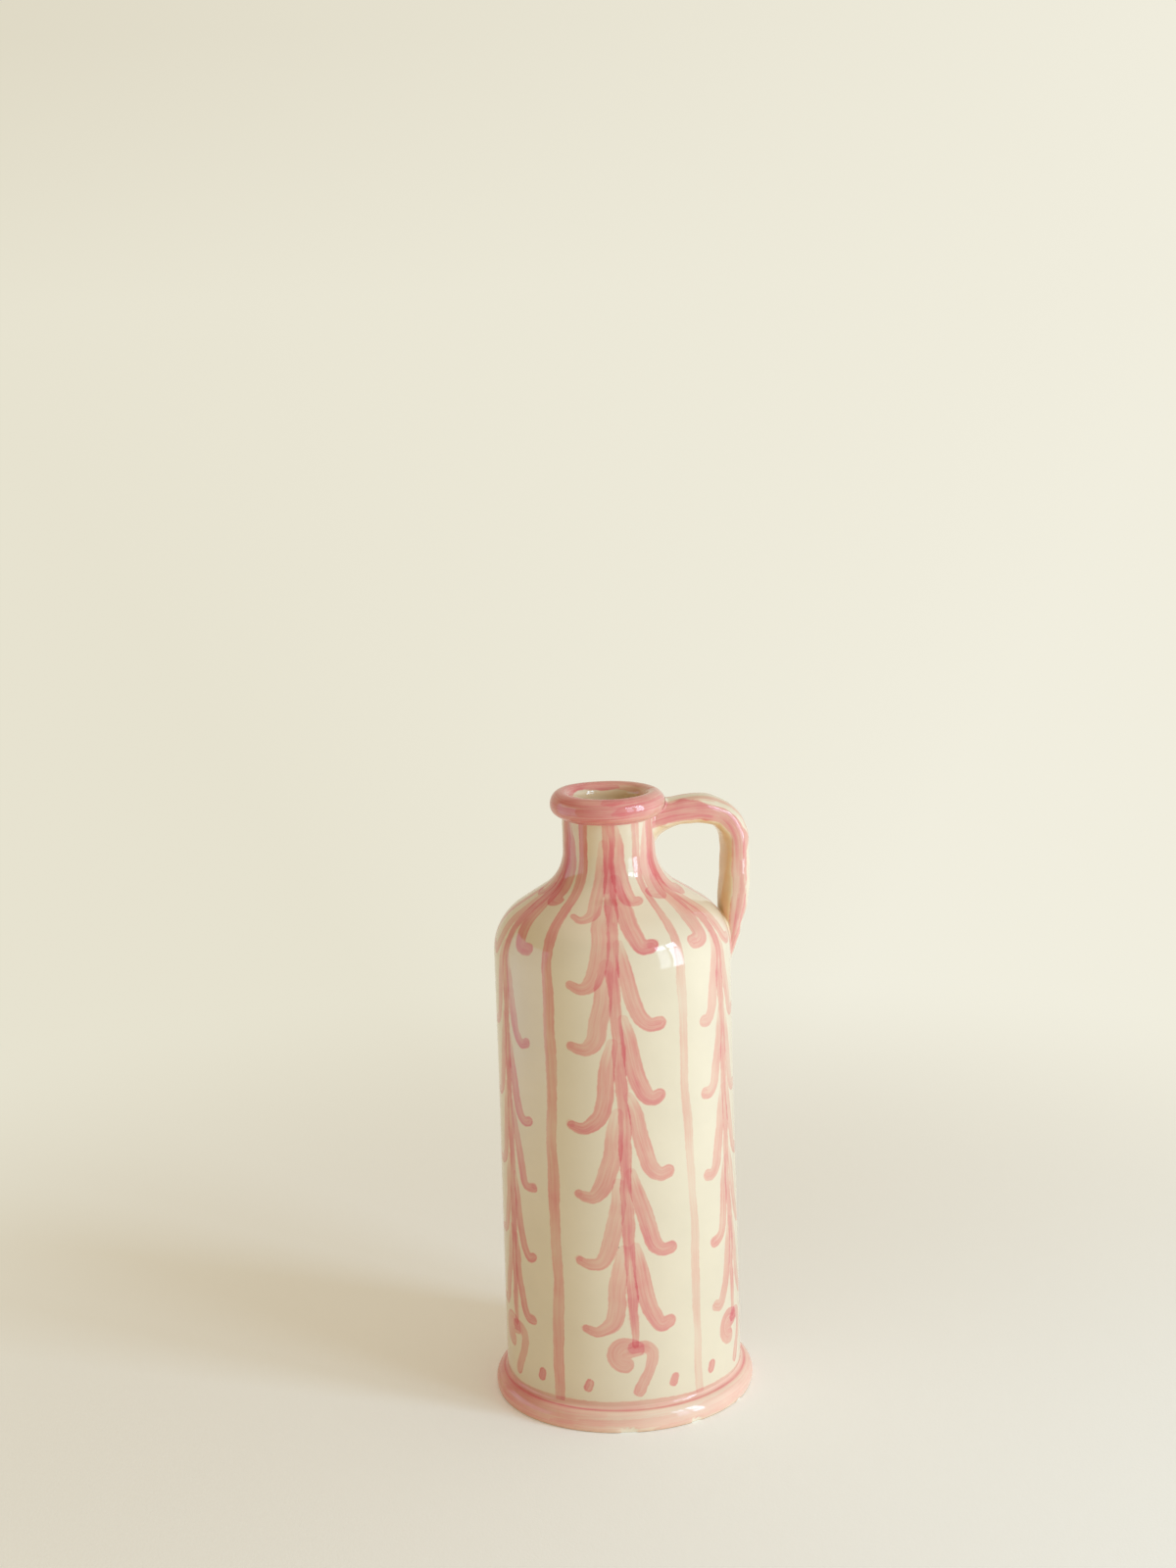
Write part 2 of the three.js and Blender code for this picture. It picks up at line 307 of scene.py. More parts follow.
class Pot:
    """The outside of the thrown pot in mm: its outline, its unevenness and its nearest point."""

    def __init__(self, clay):
        self.clay = clay
        self.sizes = Measures()
        self.outside = self.outside_line()
        rim = self.rim_line()
        self.outline = joined(self.outside, rim[np.argmax(rim[:, 0] > self.sizes.neck_radius):-1])

    def shoulder_line(self, inwards):
        m = self.sizes
        crown = mm(self.clay.crown_radius)
        hollow = mm(self.clay.hollow_radius)
        slope = self.clay.slope_angle
        lower = arc((m.wall_top_radius - crown, m.wall_top), (crown - inwards,) * 2, 0, slope, ARC_STEPS)
        upper = arc((m.neck_radius + hollow, m.neck_bottom), (hollow + inwards,) * 2,
                    math.pi + slope, math.pi, ARC_STEPS)
        return joined(lower, upper)

    def outside_line(self):
        m = self.sizes
        return joined([(m.body_radius, m.foot_height)], self.shoulder_line(0), [(m.neck_radius, m.seat)])

    def rim_line(self):
        """The rolled mouth from its crease at the neck, out and over, to the middle of its inner side."""
        m = self.sizes
        middle = ((m.bore + m.rim_radius) / 2, (m.seat + m.height) / 2)
        sizes = (m.rim_radius - middle[0], m.height - middle[1])
        return arc(middle, sizes, -math.pi / 2, math.pi, RIM_STEPS)

    def unevenness(self, turn, height):
        """How far the clay stands out from its true circle, in mm."""
        m = self.sizes
        clay = self.clay
        wide = mm(clay.out_of_round)
        oval = (wide * np.cos(2 * turn - 0.6 + height * 0.006)
                + wide * 0.45 * np.cos(3 * turn + 1.1 - height * 0.009))
        ridges = mm(clay.ridge_depth) * np.sin(FULL_TURN * height / mm(clay.ridge_pitch) + turn)
        ridges *= 0.6 + 0.4 * np.sin(height * 0.083 + 0.7)
        waist_height = 128
        waist_spread = 42
        drawn_in = -mm(clay.waist) * bell(height, waist_height, waist_spread)
        above_foot = smooth(height, 4, 16)
        return oval * (1 - 0.35 * smooth(height, m.wall_top, m.seat)) + (ridges + drawn_in) * above_foot

    def nearest(self, points):
        """Signed distance outside the pot, nearest point on it and direction out of it."""
        turn = np.arctan2(points[:, 1], points[:, 0])
        flat = np.stack([np.hypot(points[:, 0], points[:, 1]) - self.unevenness(turn, points[:, 2]),
                         points[:, 2]], 1)
        start = self.outline[:-1]
        run = self.outline[1:] - start
        reach = (run ** 2).sum(1)
        offset = flat[:, None] - start[None]
        t = np.clip((offset * run).sum(2) / reach, 0, 1)
        gap = offset - t[..., None] * run
        distance = np.hypot(gap[..., 0], gap[..., 1])
        best = distance.argmin(1)
        rows = np.arange(len(points))
        run_out = np.stack([run[:, 1], -run[:, 0]], 1) / np.sqrt(reach)[:, None]
        out = run_out[best]
        side = np.sign((gap[rows, best] * out).sum(1))
        side[side == 0] = 1
        foot = start[best] + t[rows, best][:, None] * run[best]
        radius = foot[:, 0] + self.unevenness(turn, points[:, 2])
        place = np.stack([radius * np.cos(turn), radius * np.sin(turn), foot[:, 1]], 1)
        direction = np.stack([out[:, 0] * np.cos(turn), out[:, 0] * np.sin(turn), out[:, 1]], 1)
        return distance[rows, best] * side, place, direction


# Brush strokes

class Coat:
    """One coat of brush strokes on a surface: for every point its place in the nearest stroke."""

    def __init__(self, turn, climb, girth):
        self.turn = turn
        self.climb = climb
        self.girth = girth
        self.edge = np.full(len(turn), FAR)
        self.across = np.zeros(len(turn))
        self.along = np.zeros(len(turn))
        self.load = np.zeros(len(turn))
        self.strokes = 0

    def settle(self, where, edge, across, along, load):
        """Each point keeps the stroke that it lies deepest in."""
        closer = edge < self.edge[where]
        where = where[closer]
        self.edge[where] = edge[closer]
        self.across[where] = across[closer]
        self.along[where] = along[closer] + STROKE_GAP * self.strokes
        self.load[where] = load[closer]
        self.strokes += 1

    def brush(self, path, half_widths, loads, about=0.0):
        """A stroke along a path of (sideways, up) points in mm from the line at an angle."""
        path = np.asarray(path, float)
        half_widths = np.broadcast_to(np.asarray(half_widths, float), len(path))
        loads = np.broadcast_to(np.asarray(loads, float), len(path))
        x = wrapped(self.turn - about) * self.girth
        y = self.climb
        reach = half_widths.max() + FAR
        low = path.min(0) - reach
        high = path.max(0) + reach
        where = np.flatnonzero((x > low[0]) & (x < high[0]) & (y > low[1]) & (y < high[1]))
        run = np.diff(path, axis=0)
        size = np.hypot(run[:, 0], run[:, 1])
        offset = np.stack([x[where], y[where]], 1)[:, None] - path[None, :-1]
        t = np.clip((offset * run).sum(2) / size ** 2, 0, 1)
        gap = offset - t[..., None] * run
        distance = np.hypot(gap[..., 0], gap[..., 1])
        edge = distance - (half_widths[:-1] + t * np.diff(half_widths))
        best = edge.argmin(1)
        rows = np.arange(len(where))
        t = t[rows, best]
        turned = np.sign(run[best, 0] * gap[rows, best, 1] - run[best, 1] * gap[rows, best, 0])
        along = np.concatenate([[0], np.cumsum(size)])[best] + t * size[best]
        self.settle(where, edge[rows, best], distance[rows, best] * turned, along,
                    loads[best] + t * np.diff(loads)[best])

    def cover(self, edge, across, along, load):
        """A wash given point by point."""
        everywhere = np.arange(len(self.turn))
        self.settle(everywhere, *(np.broadcast_to(a, len(self.turn)).astype(float)
                                  for a in (edge, across, along, load)))

    def keep_on(self, piece, name):
        """Stores the coat with the piece under a name."""
        give(piece, name, np.stack([self.edge, self.across, self.along], 1))
        give(piece, name + "_load", self.load)


def keep_coats(piece, coats):
    """Keeps every coat on a piece, for its glaze to find by name."""
    for name, coat in coats.items():
        coat.keep_on(piece, name)


# Meshes

def give(piece, name, values):
    """Stores a number or a vector for every point of a piece."""
    kind, key = ("FLOAT_VECTOR", "vector") if np.ndim(values) == 2 else ("FLOAT", "value")
    stored = piece.data.attributes.new(name, kind, "POINT")
    stored.data.foreach_set(key, np.ravel(values).astype(np.float32))


def skinned(name, rings, closed=False, climb=None):
    """A closed piece through rings of points in mm: the rings meet end to end or have a fan at each end."""
    rows, columns = rings.shape[:2]
    points = rings.reshape(-1, 3)
    i = np.arange(rows if closed else rows - 1)[:, None]
    j = np.arange(columns)[None]
    above = (i + 1) % rows
    right = (j + 1) % columns
    quads = np.stack([i * columns + j, i * columns + right,
                      above * columns + right, above * columns + j], -1)
    if climb is None:
        climb = np.arange(rows) / rows
    climb = np.append(climb, 1.0) if closed else climb
    u = np.stack([j, j + 1, j + 1, j], -1) / columns + 0 * i[..., None]
    v = np.stack([climb[i], climb[i], climb[i + 1], climb[i + 1]], -1) + 0 * j[..., None]
    faces = quads.reshape(-1, 4).tolist()
    places = [np.stack([u, v], -1).reshape(-1, 2)]
    if not closed:
        points = np.concatenate([points, rings[:1].mean(1), rings[-1:].mean(1)])
        first = rows * columns
        j = j[0]
        right = right[0]
        last = (rows - 1) * columns
        faces += np.stack([np.full(columns, first), right, j], 1).tolist()
        faces += np.stack([np.full(columns, first + 1), last + j, last + right], 1).tolist()
        for row, order in ((0, (0.5, 1, 0)), (rows - 1, (0.5, 0, 1))):
            u = (j[:, None] + np.array(order)) / columns
            beyond = (climb[0] * 0.5, climb[-1] * 0.5 + 0.5)[row > 0]
            v = np.broadcast_to([beyond, climb[row], climb[row]], (columns, 3))
            places.append(np.stack([u, v], -1).reshape(-1, 2))
    corners = points[quads[:, :, [0, 1, 2]]].reshape(-1, 3, 3)
    volume = np.einsum("ij,ij->i", corners[:, 0], np.cross(corners[:, 1], corners[:, 2])).sum()
    mesh = bpy.data.meshes.new(name)
    mesh.from_pydata((points * MM).tolist(), [], faces)
    mesh.uv_layers.new(name="OFBake").data.foreach_set("uv", np.concatenate(places).ravel())
    if volume < 0:
        mesh.flip_normals()
    mesh.shade_smooth()
    mesh.set_sharp_from_angle(angle=math.radians(SHARP_ANGLE))
    mesh.update()
    piece = bpy.data.objects.new(name, mesh)
    bpy.context.scene.collection.objects.link(piece)
    return piece


def turned(pot, name, line, closed, climb=None, lift=None, shift=None):
    """A piece turned on the wheel from (radius, height) points, with the pot's unevenness."""
    if climb is None:
        place = travelled(line)
        climb = place / (place[-1] + (SEAM if closed else 0))
    turn = np.arange(ROUND_COLUMNS) * FULL_TURN / ROUND_COLUMNS
    radius = np.repeat(line[:, :1], ROUND_COLUMNS, 1)
    height = np.repeat(line[:, 1:], ROUND_COLUMNS, 1)
    turns = np.repeat(turn[None], len(line), 0)
    radius = radius + pot.unevenness(turns, height) * smooth(radius, 1, 12)
    if shift is not None:
        radius = radius + shift(turns, radius, height)
    if lift is not None:
        height = height + lift(turns, radius, height)
    rings = np.stack([radius * np.cos(turns), radius * np.sin(turns), height], -1)
    piece = skinned(name, rings, closed, climb)
    return piece, turns.ravel(), radius.ravel(), height.ravel()


def point_values(piece, values, rest):
    """Values for every ring point, with one more for each fan's middle."""
    extra = len(piece.data.vertices) - len(values)
    return np.concatenate([values, np.full(extra, rest)])


def finished(piece, slot, material, *nodes):
    """Gives a piece its material and body, and hides the CAD nodes it stands for. The slot is not used."""
    piece.data.materials.append(material)
    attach(piece, ROOT)
    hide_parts(*nodes)


# Materials

class NodeSheet:
    """Short calls that add linked nodes to a material or the world."""

    def __init__(self, tree):
        self.tree = tree
        tree.nodes.clear()

    def add(self, kind, inputs=(), **settings):
        node = self.tree.nodes.new("ShaderNode" + kind)
        for key, value in settings.items():
            setattr(node, key, value)
        for socket, value in dict(inputs).items():
            self.put(node.inputs[socket], value)
        return node

    def put(self, socket, value):
        if isinstance(value, bpy.types.NodeSocket):
            self.tree.links.new(value, socket)
        elif hasattr(value, "__len__") and socket.type == "RGBA" and len(value) == 3:
            socket.default_value = (*value, 1)
        else:
            socket.default_value = value

    def math(self, operation, *values, clamp=False):
        return self.add("Math", enumerate(values), operation=operation, use_clamp=clamp).outputs[0]

    def times(self, a, b):
        return self.math("MULTIPLY", a, b)

    def plus(self, a, b):
        return self.math("ADD", a, b)

    def dot(self, a, b):
        return self.add("VectorMath", {0: a, 1: b}, operation="DOT_PRODUCT").outputs["Value"]

    def ranged(self, value, low, high, to_low, to_high, smooth_step=False):
        """A value carried over from one range to another."""
        kind = "SMOOTHSTEP" if smooth_step else "LINEAR"
        inputs = {"Value": value, "From Min": low, "From Max": high, "To Min": to_low, "To Max": to_high}
        return self.add("MapRange", inputs, interpolation_type=kind).outputs[0]

    def noise(self, place, scale, detail=2.0, roughness=0.5):
        inputs = {"Vector": place, "Scale": scale, "Detail": detail, "Roughness": roughness}
        return self.add("TexNoise", inputs).outputs["Fac"]

    def spots(self, place, scale, rarity):
        """Scattered spots: whether a cell has one, a random number for it, the distance from its middle."""
        cells = self.add("TexVoronoi", {"Vector": place, "Scale": scale}).outputs
        chance, number, _ = self.split(cells["Color"])
        return self.math("GREATER_THAN", chance, rarity), number, cells["Distance"]

    def mixed(self, factor, a, b, blend="MIX"):
        """Two colours blended by a factor."""
        node = self.add("Mix", data_type="RGBA", blend_type=blend)
        self.put(node.inputs["Factor"], factor)
        self.put(node.inputs[6], a)
        self.put(node.inputs[7], b)
        return node.outputs[2]

    def split(self, vector):
        return self.add("SeparateXYZ", {0: vector}).outputs

    def vector(self, x, y, z):
        return self.add("CombineXYZ", {0: x, 1: y, 2: z}).outputs[0]

    def values_of(self, name):
        """What a mesh stores for its points under a name."""
        return self.add("Attribute", attribute_name=name, attribute_type="GEOMETRY").outputs

    def show(self, shader, output="OutputMaterial"):
        """Ends the sheet with a shader."""
        self.put(self.add(output).inputs["Surface"], shader.outputs[0])


def new_material(name):
    """A material, the sheet of its nodes and the place on the piece that they start from."""
    material = bpy.data.materials.new(name)
    material.use_nodes = True
    sheet = NodeSheet(material.node_tree)
    return material, sheet, sheet.add("TexCoord").outputs["Object"]


def around(shade, darker, lighter):
    """A darker and a lighter neighbour of a colour."""
    return [c * darker for c in shade], [min(1, c * lighter) for c in shade]


# Fineness of each marking on the glaze, the clay and the paper: how many fit in a metre
MOTTLE = 30
CLAY_CLOUDS = 60
CLOUDS = 85
SPECKS = 95
PIMPLES = 62
RIPPLES = 130
# Patches in the tan of thin glaze and painted shade
THIN_AND_SHADE_PATCHES = 160
SHINE_PATCHES = 240
RAGGED_EDGE = 380
BARE_EDGE = 520
TURNING_MARKS = 620
FINE_RIPPLES = 700
CLAY_GRAIN = 900
PAPER_GRAIN = 900
GRIT = 1500
# Shares of the cells that stay free of a dark speck and of a pimple
SPECK_RARITY = 0.90
PIMPLE_RARITY = 0.94
# Radii of the dark specks and of a pimple as shares of a cell
SPECK_RADII = (0.012, 0.030)
PIMPLE_RADIUS = 0.05
SPECK_COLOUR = (0.20, 0.10, 0.05)
SPECK_STRENGTH = 0.75
# Bristle marks for each mm across and along a stroke
BRISTLES_ACROSS = 0.95
BRISTLES_ALONG = 0.045
# Depth of the marks on the bare clay and on the paper, in metres
CLAY_MARKS = 0.00018
PAPER_MARKS = 0.0003
GLASS_IOR = 1.5


def pigment_load(sheet, place, coats):
    """How much pigment lies on the glaze, from coats with ragged edges and bristle streaks."""
    ragged = sheet.times(sheet.math("SUBTRACT", sheet.noise(place, RAGGED_EDGE, 3), 0.5), 0.9)
    total = 0.0
    for coat in coats:
        edge, across, along = sheet.split(sheet.values_of(coat)["Vector"])
        load = sheet.values_of(coat + "_load")["Fac"]
        edge = sheet.plus(edge, ragged)
        cover = sheet.ranged(edge, 0.26, -0.30, 0, 1, smooth_step=True)
        bristle_place = sheet.vector(sheet.times(across, BRISTLES_ACROSS),
                                     sheet.times(along, BRISTLES_ALONG), 0.0)
        bristles = sheet.ranged(sheet.noise(bristle_place, 1.0, 3, 0.62), 0.30, 0.70, 0.62, 1.36)
        pooled = sheet.ranged(sheet.math("ABSOLUTE", sheet.plus(edge, 0.45)), 0.0, 0.6, 1.07, 1.0)
        density = sheet.times(sheet.times(cover, load), sheet.times(bristles, pooled))
        total = sheet.plus(total, density)
    cloudy = sheet.ranged(sheet.noise(place, CLOUDS, 3, 0.55), 0.3, 0.7, 0.82, 1.18)
    return sheet.times(total, cloudy)


def glaze(name, look, coats, bare=False, ground=None):
    """Glossy cream glaze, painted with the given coats, thin or bare where the piece says so, and turned
    tan where the piece paints shade.
    """
    material, sheet, place = new_material(name)
    mottle = sheet.ranged(sheet.noise(place, MOTTLE, 4, 0.6), 0.3, 0.7, 0, 1)
    body = sheet.mixed(mottle, *around(ground or look.cream, 0.965, 1.03))
    # Tan of thin glaze where the piece asks for it: real thin glaze, and painted shade inside the bottle
    # and the mouth and on the neck's dim side
    patches = sheet.ranged(sheet.noise(place, THIN_AND_SHADE_PATCHES, 3), 0.35, 0.65, 0.78, 1.22)
    thinned_and_shaded = sheet.math("MULTIPLY", sheet.values_of("thin_glaze_and_shade")["Fac"], patches, clamp=True)
    body = sheet.mixed(thinned_and_shaded, body, look.thin_glaze_and_shade)
    load = pigment_load(sheet, place, coats)
    tints = [sheet.ranged(load, 0.3, 1.2, washed, full) for washed, full in zip(look.wash, look.pigment)]
    passed = [sheet.math("POWER", channel, load) for channel in tints]
    tint = sheet.add("CombineColor", enumerate(passed)).outputs[0]
    painted = sheet.mixed(1.0, body, tint, "MULTIPLY")
    chosen, number, distance = sheet.spots(place, SPECKS, SPECK_RARITY)
    dark = sheet.times(chosen, sheet.math("LESS_THAN", distance, sheet.ranged(number, 0, 1, *SPECK_RADII)))
    painted = sheet.mixed(sheet.times(dark, SPECK_STRENGTH), painted, SPECK_COLOUR)
    chosen, _, distance = sheet.spots(place, PIMPLES, PIMPLE_RARITY)
    pimple = sheet.times(chosen, sheet.ranged(distance, PIMPLE_RADIUS, 0.0, 0, 3.0, smooth_step=True))
    fine = sheet.times(sheet.noise(place, FINE_RIPPLES, 2), 0.10)
    height = sheet.plus(sheet.plus(sheet.noise(place, RIPPLES, 2, 0.4), fine), pimple)
    bump = sheet.add("Bump", {"Strength": 1.0, "Distance": look.peel, "Height": height})
    shine = sheet.ranged(sheet.noise(place, SHINE_PATCHES, 3), 0.3, 0.7, look.roughness * 0.75,
                         look.roughness * 1.3)
    if bare:
        edge = sheet.ranged(sheet.noise(place, BARE_EDGE, 3), 0.3, 0.7, -0.22, 0.22)
        shows = sheet.plus(sheet.values_of("bare")["Fac"], edge)
        shows = sheet.ranged(shows, 0.42, 0.58, 0, 1, smooth_step=True)
        clay = sheet.mixed(sheet.noise(place, CLAY_GRAIN, 4, 0.7), *around(look.clay, 0.86, 1.12))
        painted = sheet.mixed(shows, painted, clay)
        shine = sheet.plus(sheet.times(shine, sheet.math("SUBTRACT", 1.0, shows)),
                           sheet.times(shows, look.bare_roughness))
    sheet.show(sheet.add("BsdfPrincipled", {"Base Color": painted, "Roughness": shine, "IOR": GLASS_IOR,
                                            "Normal": bump.outputs[0]}))
    return material


def bare_clay(name, look):
    """Unglazed clay with turning marks, grit and cloudy tones."""
    material, sheet, place = new_material(name)
    x, y, _ = sheet.split(place)
    radius = sheet.math("SQRT", sheet.plus(sheet.times(x, x), sheet.times(y, y)))
    rings = sheet.noise(sheet.vector(radius, 0.0, 0.0), TURNING_MARKS, 3)
    grit = sheet.noise(place, GRIT, 3, 0.7)
    cloud = sheet.noise(place, CLAY_CLOUDS, 4, 0.6)
    shade = sheet.plus(sheet.times(cloud, 0.6), sheet.times(rings, 0.4))
    tone = sheet.mixed(sheet.ranged(shade, 0.35, 0.65, 0, 1), *around(look.clay, 0.82, 1.16))
    height = sheet.plus(sheet.times(rings, 0.7), sheet.times(grit, 0.4))
    bump = sheet.add("Bump", {"Strength": 1.0, "Distance": CLAY_MARKS, "Height": height})
    sheet.show(sheet.add("BsdfPrincipled", {"Base Color": tone, "Roughness": look.bare_roughness,
                                            "IOR": GLASS_IOR, "Normal": bump.outputs[0]}))
    return material


# Painting the bottle

# Direction of each column and line in degrees from the first column, and its lean in mm from neck to foot
COLUMN_TURNS = (0, 62.3, 121, 180.5, 239, 294.1)
COLUMN_LEANS = (7.0, 9.5, 3, -3.5, 4, 2)
LINE_TURNS = (33.2, 92, 150, 210, 269, 324.9)
LINE_LEANS = (8.0, -2, 2.5, 3, -3, 1)
# Distance below the wall's middle at which a lean stops growing, as a share of the height
LEAN_STOP = 0.29
# How far each line lies to the right of its even place on the neck, in mm
LINE_NECK_SHIFTS = (1.1, 0, 0, 0, 0, -0.45)
# Width of each line beside the plan's, and how full the brush was
LINE_WIDTHS = (0.88, 1.0, 1.0, 1.05, 0.95, 1.10)
LINE_LOADS = (0.28, 0.50, 0.55, 0.48, 0.52, 0.60)
# Places up the outline in mm between which a line moves over, thins out and reddens
LINE_SHIFTS = (195, 222)
LINE_THINS = (195, 225)
LINE_REDDENS = (172, 215)
LEAF_PAIRS = 7
# How far each leaf tip strays above its even place in mm, lowest pair first: left leaves, right leaves
TIP_RISES = {
    0: ((-0.6, -1.2, -1.7, -2.3, 0.6, -3.3, -3.6), (0.6, 1.8, 4.3, 6.8, 8.8, 10.4, 3.4)),
    1: ((0.6, -1.5, -0.9, 3.9, 6.1, 9.3, 6.0), (0.0, 1.0, 2.0, 1.0, 3.0, 5.0, 4.0)),
    5: ((0.0, 1.0, 2.0, 3.0, 3.0, 4.0, 4.0), (-1.8, -4.6, -4.0, -4.6, -2.0, 8.3, 3.0)),
}
# How far below the neck's top the highest tips stay, in mm
TIP_ROOM = 30
# Reach, width and load of each column's leaves beside the plan's
COLUMN_REACHES = (1.0, 0.85, 0.95, 1.0, 0.95, 0.86)
COLUMN_WIDTHS = (1.0, 0.86, 0.9, 0.95, 0.9, 0.74)
# The second column, on the window's side, is given less pigment, which paints the window's light into its
# leaves
COLUMN_LOADS = (1.0, 0.74, 0.9, 1.0, 0.95, 1.05)
# Leaves by the neck that are wider or narrower than the rest: column, pair and side
TOP_WIDTHS = {(0, 6, -1): -0.25, (0, 6, 1): -0.05, (1, 5, -1): 0.22, (1, 6, -1): 0.30,
              (1, 6, 1): 0.20, (5, 6, 1): 0.30, (5, 5, 1): 0.20}
# How far the first column's leaves reach beside their even reach: left leaves, right leaves
TIP_REACHES = {0: ((1.02, 1.10, 1.03, 1.14, 1.05, 0.95, 1.10), (0.86, 1.02, 1.06, 0.92, 1.03, 1.02, 1.06))}
# A leaf on each side of a stem in mm: outwards from the stem, up from the tip, half the brush's width
HANGING_LEAF = ((2.6, 32, 2.6), (4.1, 24, 3.4), (5.2, 16, 3.6), (6.6, 9, 3.7), (8.6, 2.6, 3.6),
                (11.4, -1.2, 2.8), (15.0, -1.9, 2.2), (18.6, -0.6, 1.9))
SWEEPING_LEAF = ((2.2, 32, 2.3), (3.8, 25, 2.9), (5.3, 17, 3.4), (7.4, 8.5, 3.5), (9.8, 2.4, 3.3),
                 (13.0, -0.5, 2.8), (16.6, -0.3, 2.8))
# Reach, wash and hook of the leaves above as they are listed, in mm
LEAF_SPAN = 19.8
LEAF_WASH = 7.4
LEAF_HOOK = 4.6
# Load of the brush as it touches down, and steps of a leaf's path before its streak begins
FIRST_LOAD = 0.22
STREAK_START = 6
# How far below the lowest tips the stems end and their tendrils begin, in mm
STEM_END = 8.6
TENDRIL_START = 7.6
# The tendril at a stem's foot in mm from the stem's end: a bud to one side and a tail to the other
BUD = ((0.5, -1.2), (-3.2, 0.2), (-6.4, -0.2), (-8.4, -2.9), (-8.1, -6.0), (-6.0, -8.2), (-4.2, -8.6))
TAIL = ((-1.0, -1.4), (3.4, -1.2), (6.2, -3.2), (6.6, -6.4), (5.2, -11.4), (2.8, -16.0), (1.0, -19.8))
BUD_FILLING = ((-5.6, -4.4), (-3.2, -3.4), (1.0, -2.6))
TENDRIL_CORE = ((-1.6, -2.2), (3.4, -2.4))
# Distance of a dot from its column's middle, and how far a column's dots lie to the right, in mm
DOT_DISTANCE = 17.8
DOT_SHIFTS = {0: -1.7, 1: 1.2, 5: -1.2}
# Half width of the first and the last touch of a dot in mm
DOT_TOUCHES = (1.9, 1.8)
# How softly the redder cores of the stems end: the less, the softer
CORE_EDGE = 0.30
# The seed of every column and every line is the plan's seed times this, plus its number
COLUMN_SEEDS = 50
LINE_SEEDS = 70


